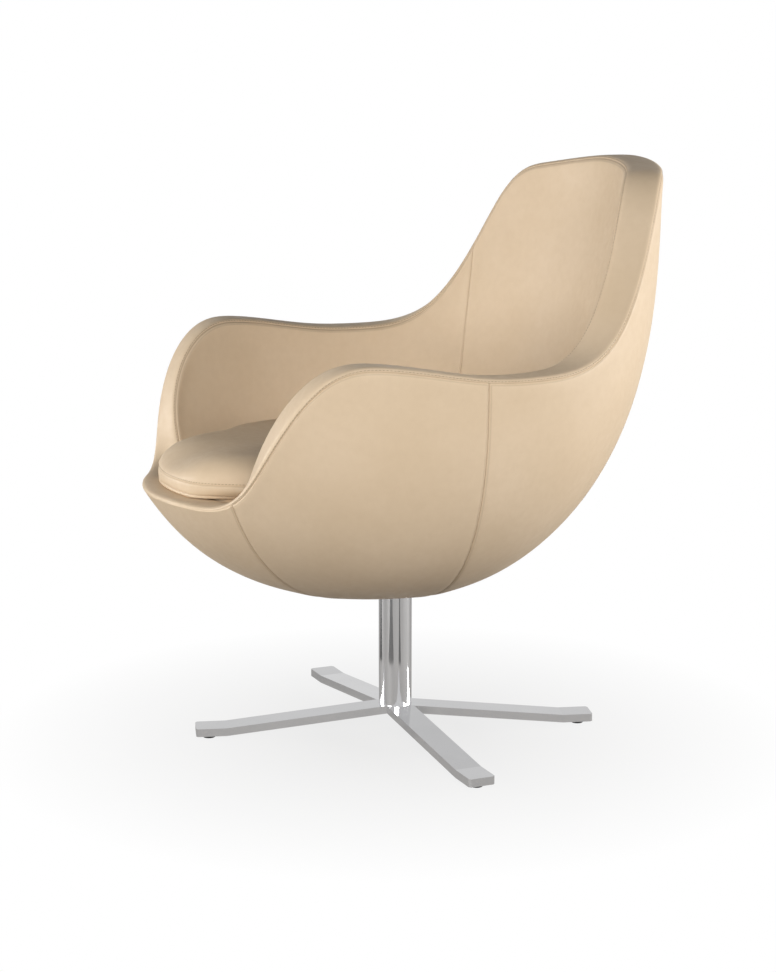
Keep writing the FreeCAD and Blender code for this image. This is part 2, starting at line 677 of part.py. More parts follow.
def surface(net, across):
    skin = Part.BSplineSurface()
    skin.buildFromPolesMultsKnots(square_ends(net), counts(ROUND_KNOTS), counts(across),
                                  ROUND_KNOTS, across, False, False, 3, 3)
    return skin


def layer(depth, drop=0.0):
    """Surface below the outer skin; depth is given the way between the skins, its start and direction.
    Its upper end lies lower by the drop."""
    net = []
    for angle, outer_row, inner_row in zip(ROUND_AT, outer_net, inner_net):
        lower = rim_normal(angle) * drop
        row = []
        for share, start, stop in zip(TALL_AT, outer_row, inner_row):
            way = stop - start
            far = way.Length
            way = way * (1.0 / far)
            row.append(start + way * depth(far, start, way) - lower * (share ** SINK_POWER))
        net.append(row)
    return surface(net, TALL_KNOTS)


def mould_depth(far, start, way):
    plain = size("leather") + 2.0 * size("layer_gap") + size("outer_foam")
    radius = math.hypot(start.x, start.y)
    leave = ramp(radius, LAND_REACH, LAND_REACH + size("land_ease"))
    if leave >= 1.0:
        return plain
    flat = (LAND_HEIGHT - start.z) / way.z
    return plain * leave + max(flat, plain) * (1.0 - leave)


def near_land(start):
    """One over the land, falling to nothing as the layers leave it."""
    return 1.0 - ramp(math.hypot(start.x, start.y), LAND_REACH, LAND_REACH + size("land_ease") / 2.0)


def foam_depth(far, start, way):
    hardware = size("plate_thick") + size("plate_bolt_head_high") + size("bolt_room")
    return mould_depth(far, start, way) - size("layer_gap") - hardware * near_land(start)


def padding_depth(far, start, way):
    return far - size("leather") - size("layer_gap")


def seat_depth(far, start, way):
    hardware = size("plate_nut_high") + size("plate_bolt_end") + size("bolt_room")
    below = mould_depth(far, start, way) + size("mould_thick") + size("layer_gap")
    return below + hardware * near_land(start)


skins = {
    "cover_out": layer(lambda far, start, way: 0.0),
    "cover_in": layer(lambda far, start, way: size("leather")),
    "foam_out": layer(lambda far, start, way: size("leather") + size("layer_gap")),
    "foam_in": layer(foam_depth),
    "mould_out": layer(mould_depth),
    "mould_in": layer(lambda *at: mould_depth(*at) + size("mould_thick")),
    "seat_out": layer(seat_depth),
    "seat_in": layer(padding_depth),
    "lip_in": layer(padding_depth, size("lip_drop")),
    "lining_out": layer(lambda far, start, way: far - size("leather")),
    "lining_in": layer(lambda far, start, way: far),
}


def strip(first, second):
    """Straight face from one edge curve to the other; both have the same knots."""
    face = Part.BSplineSurface()
    face.buildFromPolesMultsKnots([first.getPoles(), second.getPoles()], [2, 2], first.getMultiplicities(),
                                  [0.0, 1.0], first.getKnots(), False, False, 1, first.Degree)
    return face.toShape()


def sides_between(first, second, start, stop, low, high, caps):
    """Faces of a slab between two skins; caps tells which ends round the column are closed."""
    near = first.copy()
    near.segment(start, stop, low, high)
    far = second.copy()
    far.segment(start, stop, low, high)
    faces = [near.toShape(), far.toShape()]
    for edge in (low, high):
        faces.append(strip(near.vIso(edge), far.vIso(edge)))
    for edge, closed in zip((start, stop), caps):
        if closed:
            faces.append(strip(near.uIso(edge), far.uIso(edge)))
    return faces


def solid_of(faces):
    shell = Part.makeShell(faces)
    shell.sewShape()
    solid = Part.makeSolid(shell)
    if solid.Volume < 0:
        solid.reverse()
    return solid


def mirrored(faces):
    return [face.mirror(V(0, 0, 0), V(1, 0, 0)) for face in faces]


def add(label, shape):
    obj = doc.addObject("Part::Feature", label)
    obj.Shape = shape
    return obj


HALF = size("seam_half")
FRONT = size("front_seam")


def panels(names, first, second, front_second, seam):
    """Four pieces split at the given seam and at the front seam: back, left, right, front.
    The front piece has its own second skin."""
    back, left, right, front = names
    half = sides_between(first, second, seam + HALF, 180.0, 0.0, 1.0, (True, False))
    nodes.append(add(back, solid_of(half + mirrored(half))))
    half = sides_between(first, second, FRONT + HALF, seam - HALF, 0.0, 1.0, (True, True))
    nodes.append(add(left, solid_of(half)))
    nodes.append(add(right, solid_of(mirrored(half))))
    half = sides_between(first, front_second, 0.0, FRONT - HALF, 0.0, 1.0, (False, True))
    nodes.append(add(front, solid_of(half + mirrored(half))))


panels(("outer_back_cover", "outer_left_cover", "outer_right_cover", "outer_front_cover"),
       skins["cover_out"], skins["cover_in"], skins["cover_in"], size("side_seam"))
panels(("outer_back_foam", "outer_left_foam", "outer_right_foam", "outer_front_foam"),
       skins["foam_out"], skins["foam_in"], skins["foam_in"], size("side_seam"))
panels(("back_foam", "left_arm_foam", "right_arm_foam", "seat_foam"),
       skins["seat_out"], skins["seat_in"], skins["lip_in"], size("inner_seam"))
panels(("inner_back_cover", "inner_left_cover", "inner_right_cover", "seat_deck_cover"),
       skins["lining_out"], skins["lining_in"], skins["lining_in"], size("inner_seam"))

half = sides_between(skins["mould_out"], skins["mould_in"],
                     0.0, 180.0, 0.0, size("mould_top"), (False, False))
mould = add("moulded_blank", solid_of(half + mirrored(half)))
holes = [cylinder("mould_hole_%d" % number, BOLT_HOLE, "3 * Sizes.mould_thick",
                  LAND + " - Sizes.mould_thick", x, y)
         for number, (x, y) in enumerate(QUARTERS, start=1)]
nodes.append(cut("moulded_shell", mould, join("mould_holes", *holes)))

BAND_SPANS = 4
BAND_AT = stations(BAND_SPANS, 1.0)
BAND_KNOTS = [i / BAND_SPANS for i in range(BAND_SPANS + 1)]


def band_surface(crown, lift):
    net = []
    for angle in ROUND_AT:
        start = outer_rim(angle)
        stop = inner_rim(angle)
        up = rim_normal(angle)
        net.append([start + (stop - start) * share + up * (crown * 4.0 * share * (1.0 - share) + lift)
                    for share in BAND_AT])
    return surface(net, BAND_KNOTS)


half = sides_between(band_surface(size("rim_crown"), 0.0), band_surface(0.0, -size("leather")),
                     0.0, 180.0, 0.0, 1.0, (False, False))
nodes.append(add("rim_band", solid_of(half + mirrored(half))))

# Loose cushion: arcs through the outline, lofted with drawn-in edges and a crown.

OUTLINE_STEPS = 24
SOLE_STEPS = 3
CROWN_STEPS = 6
CROWN_END = 85.0
SOLE = DECK_HEIGHT + size("cushion_seat")


def cushion_radius(angle, draw):
    wall = deck_corner(angle) - size("cushion_gap") - draw
    lip_height = size("shell_bottom") + size("lip_rise")
    lip = skin_radius(angle, lip_height) - size("cushion_setback")
    return lip + (wall - lip) * ramp(angle, size("tongue_start"), size("tongue_end"))


def cushion_wire(skin, draw, scale, height):
    middle = V(0, -size("cushion_centre"), 0)
    half = []
    for i in range(OUTLINE_STEPS + 1):
        angle = 180.0 * i / OUTLINE_STEPS
        spot = polar(angle, cushion_radius(angle, draw) - skin, height)
        half.append(V(spot.x * scale, middle.y + (spot.y - middle.y) * scale, height))
    half[0].x = 0.0
    half[-1].x = 0.0
    other = [V(-p.x, p.y, p.z) for p in reversed(half)]
    edges = []
    for row in (half, other):
        for i in range(0, OUTLINE_STEPS, 2):
            edges.append(Part.Arc(row[i], row[i + 1], row[i + 2]).toShape())
    return Part.Wire(edges)


def cushion_profile():
    """Height, draw-in and scale of each section, from the underside over the waist to the crown."""
    waist = size("cushion_waist")
    for i in range(SOLE_STEPS):
        share = i / SOLE_STEPS
        yield waist * share, size("sole_draw") * (1.0 - share) ** 2, 1.0
    for i in range(CROWN_STEPS + 1):
        turn = math.radians(CROWN_END * i / CROWN_STEPS)
        height = waist + (size("cushion_high") - waist) * math.sin(turn)
        yield height, 0.0, math.cos(turn) ** (1.0 / size("crown_power"))


def cushion_body(skin):
    squeeze = 1.0 - 2.0 * skin / size("cushion_high")
    wires = [cushion_wire(skin, draw, scale, SOLE + skin + height * squeeze)
             for height, draw, scale in cushion_profile()]
    return Part.makeLoft(wires, True, True)


def slab(low, high):
    span = 4.0 * size("reach_front")
    return Part.makeBox(span, span, high - low, V(-span / 2.0, -span / 2.0, low))


def zip_box(spare):
    middle = SOLE + (size("border_low") + size("border_high")) / 2.0
    long = size("zip_length") - 2.0 * spare
    high = size("zip_high") - 2.0 * spare
    return Part.makeBox(long, size("reach_back"), high, V(-long / 2.0, 0, middle - high / 2.0))


cover = cushion_body(0.0).cut(cushion_body(size("leather")))
low_seam = SOLE + size("border_low")
high_seam = SOLE + size("border_high")
border = cover.common(slab(low_seam, high_seam))
top_edge = SOLE + size("cushion_high")
nodes.append(add("cushion_foam", cushion_body(size("leather") + size("layer_gap"))))
nodes.append(add("cushion_top_cover", cover.common(slab(high_seam + size("seam_gap"), top_edge))))
nodes.append(add("cushion_border", border.cut(zip_box(0.0))))
nodes.append(add("cushion_zip", border.common(zip_box(size("seam_gap")))))
nodes.append(add("cushion_bottom_cover", cover.common(slab(SOLE, low_seam - size("seam_gap")))))
doc.recompute()

for obj in doc.Objects:
    if "Invalid" in obj.State or "Error" in obj.State:
        raise RuntimeError("%s: %s" % (obj.Label, obj.State))
os.makedirs("parts", exist_ok=True)
for obj in nodes:
    if obj.Shape.isNull() or not obj.Shape.isValid() or not obj.Shape.Solids:
        raise RuntimeError("shape of %s" % obj.Label)
    obj.Shape.exportStep("parts/%s.step" % obj.Label)
    print("%-22s solids %d faces %3d volume %10.0f" % (
        obj.Label, len(obj.Shape.Solids), len(obj.Shape.Faces), obj.Shape.Volume))
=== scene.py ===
import math

import bpy
import numpy as np
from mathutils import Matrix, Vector, kdtree, noise


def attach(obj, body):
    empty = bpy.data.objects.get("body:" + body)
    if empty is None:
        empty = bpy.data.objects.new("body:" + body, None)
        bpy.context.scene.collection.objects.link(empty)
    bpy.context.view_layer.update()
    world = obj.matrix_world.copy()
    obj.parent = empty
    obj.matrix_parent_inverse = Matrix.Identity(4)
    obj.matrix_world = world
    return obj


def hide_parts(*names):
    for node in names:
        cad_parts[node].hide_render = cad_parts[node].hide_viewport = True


# Swivel egg chair, in metres and degrees, in the frame of the solids: the origin lies on the floor
# under the column, +Z is up, the sitter looks towards -Y and the sitter's left hand is on +X.

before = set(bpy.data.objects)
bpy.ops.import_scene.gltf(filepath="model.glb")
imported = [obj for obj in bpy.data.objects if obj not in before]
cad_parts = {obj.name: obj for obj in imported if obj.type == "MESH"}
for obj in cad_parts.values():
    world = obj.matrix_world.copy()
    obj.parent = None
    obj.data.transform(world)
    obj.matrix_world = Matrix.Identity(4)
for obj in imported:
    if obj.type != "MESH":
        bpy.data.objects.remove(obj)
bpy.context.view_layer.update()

# Sizes that the leather shares with the solids. Angles go round the column from the front.

SHELL_BOTTOM = 0.229
REACH_FRONT, REACH_SIDE, REACH_BACK, CORNER_SWELL = 0.455, 0.352, 0.390, -0.0285
RISE_FRONT, RISE_SIDE, RISE_BACK = 0.519, 0.357, 0.681
UPRIGHT_FRONT, UPRIGHT_BACK = 2.19, 3.09
BELLY_FRONT, BELLY_BACK = 3.01, 1.69
RIM_WIDTH, RIM_DROP = 0.051, 0.0022
BAND_TURN_START, BAND_TURN_END, BAND_EASE = 12.0, 48.0, 20.0
LIP_RISE, LIP_FLAT, LIP_LIFT = 0.167, 27.0, 0.215
ARM_FOOT, ARM_HEAD, ARM_RISE = 33.0, 61.0, 0.376
ARM_DIP, DIP_ANGLE = 0.024, 95.0
BACK_FOOT, BACK_SHOULDER, BACK_SWEEP = 92.0, 149.5, 2.3
BACK_RISE, BACK_ARCH, ARCH_ANGLE = 0.631, 0.026, 135.0
DECK_HEIGHT = 0.4005
FRONT_PADDING, ARM_PADDING, BACK_PADDING = 0.135, 0.096, 0.155
DECK_EDGE, DECK_BEND = 0.006, 0.020
LOW_GUIDE_OUT, LOW_GUIDE_UP = 0.25, 0.30
HIGH_GUIDE_OUT, HIGH_GUIDE_UP = 0.88, 0.72
CENTRE_HOLE, LAND_REACH, SHARE_AT_LAND = 0.030, 0.110, 0.25
SINK_POWER = 10
SIDE_SEAM, INNER_SEAM, FRONT_SEAM = 88.3, 135.0, 31.0
LEATHER = 0.0015
CUSHION_SOLE = 0.401
CUSHION_GAP, SOLE_DRAW = 0.014, 0.050
CUSHION_CENTRE, CUSHION_WAIST = 0.065, 0.016
BORDER_LOW, BORDER_HIGH = 0.0035, 0.018
ZIP_LENGTH, ZIP_HIGH = 0.260, 0.007

# The cushion as it is measured in the photograph, a little higher and further forward than its solid.

CUSHION_HIGH, CUSHION_SETBACK = 0.054, 0.018
TONGUE_START, TONGUE_END = 12.0, 34.0
CROWN_FRONT, CROWN_SIDE, CROWN_TURN = 2.0, 12.0, 34.0

# Sewing and padding that only show in the leather.

SEAM_DEPTH, SEAM_TURN = 0.0016, 0.0017
SEAM_SWELL, SEAM_REACH = 0.0011, 0.009
TUCK = 0.005
# Reach of the painted shade in the groove of a seam.
SEAM_SHADE_REACH = 0.0013
STITCH_PITCH, STITCH_LENGTH, STITCH_WIDTH = 0.0050, 0.0036, 0.0009
STITCH_FROM_SEAM = 0.0032
# Strength and reach of the fainter painted shade along each stitch row.
STITCH_SHADE, STITCH_SHADE_REACH = 0.50, 0.0009
WAVE_HIGH, WAVES_PER_METRE = 0.0006, 9.0
CUSHION_SEAM_SHARE = 0.4
PUFF_VOXEL, PUFF_PRESSURE, PUFF_FRAMES, PUFF_CAP = 0.006, 4.0, 20, 0.006
PUFF_QUALITY, PUFF_NEAREST = 5, 24


# Egg shape

def smooth(share):
    share = np.clip(share, 0.0, 1.0)
    return share * share * (3.0 - 2.0 * share)


def ramp(angle, start, stop):
    return smooth((angle - start) / (stop - start))


def fold(angle):
    return np.abs((angle + 180.0) % 360.0 - 180.0)


def around(front, side, back, angle, swell=0.0):
    turn = np.radians(angle)
    mean = (front + back + 2.0 * side) / 4.0
    ahead = (front - back) / 2.0
    oval = (front + back - 2.0 * side) / 4.0
    return (mean + ahead * np.cos(turn) + oval * np.cos(2.0 * turn)
            + swell * np.sin(turn) ** 2 * np.cos(turn))


def polar(angle, radius, height):
    turn = np.radians(angle)
    spots = np.broadcast_arrays(radius * np.sin(turn), -radius * np.cos(turn), height)
    return np.stack(spots, axis=-1)


def unit(vectors):
    return vectors / np.maximum(np.linalg.norm(vectors, axis=-1, keepdims=True), 1e-12)


def run_lengths(points, axis):
    steps = np.linalg.norm(np.diff(points, axis=axis), axis=-1)
    start = np.zeros_like(np.take(steps, [0], axis=axis))
    return np.concatenate([start, np.cumsum(steps, axis=axis)], axis=axis)


def rows_at(places, lengths, rows):
    """Points or normals at places along a line whose rows lie at the given lengths."""
    return np.stack([np.interp(places, lengths, rows[:, k]) for k in range(3)], axis=-1)


def rim_height(angle):
    angle = fold(angle)
    climb = np.sin(np.radians(angle)) ** 2 - math.sin(math.radians(LIP_FLAT)) ** 2
    lip = LIP_RISE + LIP_LIFT * np.maximum(0.0, climb)
    share = np.maximum((angle - BACK_FOOT) / (BACK_SHOULDER - BACK_FOOT), 0.0)
    arm = ARM_RISE - ARM_DIP * ramp(angle, ARM_HEAD, DIP_ANGLE)
    arm = arm + (BACK_RISE - BACK_ARCH - ARM_RISE + ARM_DIP) * smooth(share ** BACK_SWEEP)
    arm = arm + BACK_ARCH * ramp(angle, ARCH_ANGLE, 180.0)
    return SHELL_BOTTOM + lip + (arm - lip) * ramp(angle, ARM_FOOT, ARM_HEAD)


def section_shape(angle):
    angle = fold(angle)
    blend = (1.0 - np.cos(np.radians(angle))) / 2.0
    reach = around(REACH_FRONT, REACH_SIDE, REACH_BACK, angle, CORNER_SWELL)
    rise = around(RISE_FRONT, RISE_SIDE, RISE_BACK, angle)
    upright = UPRIGHT_FRONT + (UPRIGHT_BACK - UPRIGHT_FRONT) * blend
    belly = BELLY_FRONT + (BELLY_BACK - BELLY_FRONT) * blend
    return reach, rise, upright, belly


def skin_radius(angle, height):
    reach, rise, upright, belly = section_shape(angle)
    left = np.abs(1.0 - (height - SHELL_BOTTOM) / rise)
    return reach * (1.0 - left ** upright) ** (1.0 / belly)


def skin_height(angle, radius):
    reach, rise, upright, belly = section_shape(angle)
    left = (1.0 - (radius / reach) ** belly) ** (1.0 / upright)
    return SHELL_BOTTOM + rise * (1.0 - left)


def outer_rim(angle):
    height = rim_height(angle)
    return polar(angle, skin_radius(angle, height), height)


def band_direction(angle):
    """Across the rim band from its outer to its inner edge: sideways at the arm fronts, radial behind."""
    side = np.where((angle + 180.0) % 360.0 >= 180.0, 1.0, -1.0)
    angle = fold(angle)
    turning = 90.0 * ramp(angle, BAND_TURN_START, BAND_TURN_END)
    easing = 90.0 + (angle - 90.0 + BAND_EASE) ** 2 / (4.0 * BAND_EASE)
    facing = np.select([angle < 90.0 - BAND_EASE, angle < 90.0 + BAND_EASE], [turning, easing], angle)
    turn = np.radians(facing)
    return np.stack([-side * np.sin(turn), np.cos(turn), np.zeros_like(turn)], axis=-1)


def inner_rim(angle):
    return outer_rim(angle) + band_direction(angle) * RIM_WIDTH


def rim_normal(angle):
    nearby = 0.5
    ahead = outer_rim(angle + nearby) + inner_rim(angle + nearby)
    behind = outer_rim(angle - nearby) + inner_rim(angle - nearby)
    return unit(np.cross(ahead - behind, band_direction(angle)))


def at_shares(points, shares):
    lengths = run_lengths(points, 0)
    return rows_at(shares * lengths[-1], lengths, points)


def spread(ground, wall, angle, shares):
    """One section: its first quarter lies over the land by radius, the rest goes by length."""
    near = shares[shares < SHARE_AT_LAND] / SHARE_AT_LAND
    far = (shares[shares >= SHARE_AT_LAND] - SHARE_AT_LAND) / (1.0 - SHARE_AT_LAND)
    points = np.concatenate([ground(CENTRE_HOLE + (LAND_REACH - CENTRE_HOLE) * near), at_shares(wall, far)])
    return points - rim_normal(angle) * RIM_DROP * (shares ** SINK_POWER)[:, None]


SECTION_POINTS = 241


def outer_section(angle, shares):
    reach, rise, upright, belly = section_shape(angle)
    start = math.asin((LAND_REACH / reach) ** (belly / 2.0))
    top = 1.0 - (rim_height(angle) - SHELL_BOTTOM) / rise
    stop = math.acos(np.sign(top) * abs(top) ** (upright / 2.0))
    swing = start + (stop - start) * (1.0 - np.linspace(1.0, 0.0, SECTION_POINTS) ** 2)
    radius = reach * np.sin(swing) ** (2.0 / belly)
    left = np.sign(np.cos(swing)) * np.abs(np.cos(swing)) ** (2.0 / upright)
    wall = polar(angle, radius, SHELL_BOTTOM + rise * (1.0 - left))
    return spread(lambda r: polar(angle, r, skin_height(angle, r)), wall, angle, shares)


def deck_corner(facing):
    return around(REACH_FRONT - FRONT_PADDING, REACH_SIDE - ARM_PADDING, REACH_BACK - BACK_PADDING, facing)


def inner_section(angle, shares):
    edge = inner_rim(angle)
    radius = math.hypot(edge[0], edge[1])
    facing = math.degrees(math.atan2(edge[0], -edge[1]))
    corner = min(radius - DECK_EDGE, deck_corner(facing))
    high = edge[2] - DECK_HEIGHT
    lean = radius - corner
    guides = np.array([
        (corner - DECK_BEND, 0.0),
        (corner + DECK_EDGE, 0.0),
        (corner + LOW_GUIDE_OUT * lean, LOW_GUIDE_UP * high),
        (corner + HIGH_GUIDE_OUT * lean, HIGH_GUIDE_UP * high),
        (radius, high)])
    t = np.linspace(0.0, 1.0, SECTION_POINTS)[:, None]
    order = len(guides) - 1
    bend = sum(math.comb(order, i) * t ** i * (1.0 - t) ** (order - i) * guides[i] for i in range(order + 1))
    line = np.concatenate([[(LAND_REACH, 0.0)], bend])
    wall = polar(facing, line[:, 0], DECK_HEIGHT + line[:, 1])
    return spread(lambda r: polar(facing, r, DECK_HEIGHT), wall, angle, shares)


# The skins are cubic surfaces on the same net of poles as the solids, so they lie in the same place.

def stations(spans, top):
    step = top / spans
    inner = [step * i for i in range(1, spans)]
    return np.array([0.0, step / 3.0] + inner + [top - step / 3.0, top])


def basis(spans, top, at):
    """Cubic spline weights: one row for each place, one column for each pole."""
    knots = np.concatenate([[0.0] * 3, np.linspace(0.0, top, spans + 1), [top] * 3])
    at = np.clip(at, 0.0, top * (1.0 - 1e-12))[:, None]
    weights = ((at >= knots[:-1]) & (at < knots[1:])).astype(float)
    for degree in (1, 2, 3):
        rising = knots[degree:-1] - knots[:-degree - 1]
        falling = knots[degree + 1:] - knots[1:-degree]
        up = (at - knots[:-degree - 1]) / np.where(rising > 0.0, rising, 1.0) * (rising > 0.0)
        down = (knots[degree + 1:] - at) / np.where(falling > 0.0, falling, 1.0) * (falling > 0.0)
        weights = up * weights[:, :-1] + down * weights[:, 1:]
    return weights


def square_ends(net):
    """The first and last pairs of rows leave the middle plane at right angles."""
    for edge, beside in ((0, 1), (-1, -2)):
        net[edge][..., 0] = 0.0
        net[beside][..., 1:] = net[edge][..., 1:]
    return net


ROUND_SPANS, TALL_SPANS = 30, 20
ROUND_AT, TALL_AT = stations(ROUND_SPANS, 180.0), stations(TALL_SPANS, 1.0)
outer_net = square_ends(np.array([outer_section(angle, TALL_AT) for angle in ROUND_AT]))
inner_net = square_ends(np.array([inner_section(angle, TALL_AT) for angle in ROUND_AT]))
rim_net = square_ends(np.stack([outer_rim(ROUND_AT), inner_rim(ROUND_AT)], axis=1))
rim_up_net = rim_normal(ROUND_AT)[:, None]


def both_sides(rows, angles):
    rows[..., 0] *= np.where(angles % 360.0 > 180.0, -1.0, 1.0)[:, None]
    return rows


def skin_points(net, angles, shares):
    round_weights = basis(ROUND_SPANS, 180.0, fold(angles))
    return both_sides(np.einsum("ai,ijk,bj->abk", round_weights, net, basis(TALL_SPANS, 1.0, shares)), angles)


def rim_lines(net, angles):
    return both_sides(np.einsum("ai,ijk->ajk", basis(ROUND_SPANS, 180.0, fold(angles)), net), angles)


# Meshes

def new_object(name, vertices, faces):
    mesh = bpy.data.meshes.new(name)
    mesh.from_pydata(np.asarray(vertices).tolist(), [], [list(map(int, face)) for face in faces])
    mesh.polygons.foreach_set("use_smooth", [True] * len(mesh.polygons))
    mesh.update()
    obj = bpy.data.objects.new(name, mesh)
    bpy.context.scene.collection.objects.link(obj)
    return obj


def grid_faces(rows, columns, ring=False):
    index = np.arange(rows * columns).reshape(rows, columns)
    if ring:
        index = np.concatenate([index, index[:1]])
    return np.stack([index[:-1, :-1], index[1:, :-1], index[1:, 1:], index[:-1, 1:]], axis=-1).reshape(-1, 4)


def grid_normals(points, away_from):
    normals = unit(np.cross(np.gradient(points, axis=0), np.gradient(points, axis=1)))
    outward = np.sum(normals * (points - away_from), axis=-1)
    return normals * np.sign(np.median(outward))


def store(obj, name, values):
    attribute = obj.data.attributes.new(name, "FLOAT", "POINT")
    attribute.data.foreach_set("value", np.asarray(values, np.float32).ravel())


def thicken(obj, thickness):
    solid = obj.modifiers.new("thickness", "SOLIDIFY")
    solid.thickness = thickness
    solid.offset = -1.0


def waves(points):
    """Slow rise and fall of leather over foam."""
    flat = points.reshape(-1, 3) * WAVES_PER_METRE
    return WAVE_HIGH * np.array([noise.noise(Vector(p)) for p in flat]).reshape(points.shape[:-1])


def beside_seam(distance):
    """Leather turns in at a seam and swells a little beside it."""
    swelling = SEAM_SWELL * (distance / SEAM_REACH) * np.exp(1.0 - distance / SEAM_REACH)
    return swelling - SEAM_DEPTH * np.exp(-((distance / SEAM_TURN) ** 2))


def seam_shade_at(distance):
    """Painted shade in the groove where the leather turns in at a seam, and fainter painted shade where its
    stitches pull.
    """
    pulled = STITCH_SHADE * np.exp(-(((np.abs(distance) - STITCH_FROM_SEAM) / STITCH_SHADE_REACH) ** 2))
    return np.maximum(np.exp(-((distance / SEAM_SHADE_REACH) ** 2)), pulled)


SEAM_STEPS = np.array([0.0, 0.6, 1.2, 1.9, 2.5, 3.2, 3.9, 4.9, 6.3, 8.3, 11.0, 14.5]) * 0.001
DEGREES_PER_METRE = 172.0
SHARES_PER_METRE = 1.4
PANEL_DEGREES, PANEL_SHARES = 1.1, 0.0065


def spaced(start, stop, per_metre, step):
    """Places from start to stop, closer together at both ends, where the seams lie."""
    fine = SEAM_STEPS * per_metre
    count = round((stop - start - 2.0 * fine[-1]) / step) + 1
    middle = np.linspace(start + fine[-1], stop - fine[-1], max(count, 2))
    return np.concatenate([start + fine[:-1], middle, stop - fine[-2::-1]])


class Panel:
    """A sewn leather panel of one skin between two angles, with its edges turned in at the seams."""

    def __init__(self, name, net, start, stop, centre, inside=False, sewn_top=True):
        angles = spaced(start, stop, DEGREES_PER_METRE, PANEL_DEGREES)
        shares = spaced(0.0, 1.0, SHARES_PER_METRE, PANEL_SHARES)
        flat = skin_points(net, angles, shares)
        out = grid_normals(flat, centre) * (-1.0 if inside else 1.0)
        across = run_lengths(flat, 0)
        along = run_lengths(flat, 1)
        self.from_edge = {"first": across, "last": across[-1:] - across, "top": along[:, -1:] - along}
        sewn = [along, self.from_edge["first"], self.from_edge["last"]]
        if sewn_top:
            sewn.append(self.from_edge["top"])
        seam = np.minimum.reduce(sewn)
        self.points = flat + out * (beside_seam(seam) + waves(flat))[..., None]
        self.out = out
        tucked = self.points[:, -1:] - out[:, -1:] * TUCK
        vertices = np.concatenate([self.points, tucked], axis=1)
        # Painted shade in the seams, and full painted shade on the tucked-in edge of a sewn top.
        seam_shades = np.concatenate([seam_shade_at(seam), np.full((len(angles), 1), float(sewn_top))], axis=1)
        faces = grid_faces(*vertices.shape[:2])
        u, v = self.points[1, 0] - self.points[0, 0], self.points[0, 1] - self.points[0, 0]
        if np.dot(np.cross(v, u), out[0, 0]) < 0.0:
            faces = faces[:, ::-1]
        self.object = new_object(name, vertices.reshape(-1, 3), faces)
        store(self.object, "seam_shade", seam_shades)
        thicken(self.object, LEATHER)

    def line_beside(self, edge, distance):
        """Points and normals that run along an edge at a distance from it."""
        gaps, points, out = self.from_edge[edge], self.points, self.out
        if edge == "top":
            gaps, points, out = gaps.T, points.transpose(1, 0, 2), out.transpose(1, 0, 2)
        order = slice(None) if edge == "first" else slice(None, None, -1)
        gaps, points, out = gaps[order], points[order], out[order]
        spots = [[np.interp(distance, gaps[:, j], rows[:, j, k]) for k in range(3)]
                 for rows in (points, out) for j in range(points.shape[1])]
        count = points.shape[1]
        return np.array(spots[:count]), np.array(spots[count:])


STITCH_SIDES = 5
STITCH_RINGS = ((-0.5, 0.45, -0.75), (-0.28, 1.0, 0.1), (0.28, 1.0, 0.1), (0.5, 0.45, -0.75))


def stitches(name, lines):
    """Short lengths of thread along lines of points and normals, their ends sunk in the leather."""
    turns = 2.0 * np.pi * np.arange(STITCH_SIDES) / STITCH_SIDES
    template = np.array([
        (along * STITCH_LENGTH, STITCH_WIDTH / 2.0 * size * math.cos(turn),
         STITCH_WIDTH / 2.0 * (size * math.sin(turn) + drop))
        for along, size, drop in STITCH_RINGS for turn in turns])
    one = np.arange(STITCH_SIDES)
    next_one = (one + 1) % STITCH_SIDES
    sides = np.concatenate([
        np.stack([one, next_one, next_one + STITCH_SIDES, one + STITCH_SIDES], axis=-1) + ring * STITCH_SIDES
        for ring in range(len(STITCH_RINGS) - 1)])
    vertices, faces = [], []
    for points, normals in lines:
        lengths = run_lengths(points, 0)
        places = np.arange(STITCH_PITCH / 2.0, lengths[-1], STITCH_PITCH)
        ahead = STITCH_PITCH / 4.0
        run = unit(rows_at(places + ahead, lengths, points) - rows_at(places - ahead, lengths, points))
        across = unit(np.cross(rows_at(places, lengths, normals), run))
        up = np.cross(run, across)
        for spot, x, y, z in zip(rows_at(places, lengths, points), run, across, up):
            base = len(vertices) * len(template)
            vertices.append(spot + template @ np.stack([x, y, z]))
            faces.append(sides + base)
    return new_object(name, np.concatenate(vertices), np.concatenate(faces))


# Outer and inner panels

OUTER_CENTRE = np.array([0.0, 0.0, 0.5])
INNER_CENTRE = np.array([0.0, -0.02, 0.62])
outer_panels = {
    name: Panel("leather_" + name, outer_net, start, stop, OUTER_CENTRE, sewn_top=name != "outer_front")
    for name, start, stop in (
        ("outer_back", SIDE_SEAM, 360.0 - SIDE_SEAM),
        ("outer_left", FRONT_SEAM, SIDE_SEAM),
        ("outer_right", -SIDE_SEAM, -FRONT_SEAM),
        ("outer_front", -FRONT_SEAM, FRONT_SEAM))}
inner_panels = {
    name: Panel("leather_" + name, inner_net, start, stop, INNER_CENTRE, inside=True)
    for name, start, stop in (
        ("inner_back", INNER_SEAM, 360.0 - INNER_SEAM),
        ("inner_left", FRONT_SEAM, INNER_SEAM),
        ("inner_right", -INNER_SEAM, -FRONT_SEAM),
        ("seat_deck", -FRONT_SEAM, FRONT_SEAM))}

# Rim band: a padded strip all round. Its section starts tucked in at the outer seam, rolls over the
# edge, runs level across and turns down into the inner seam.

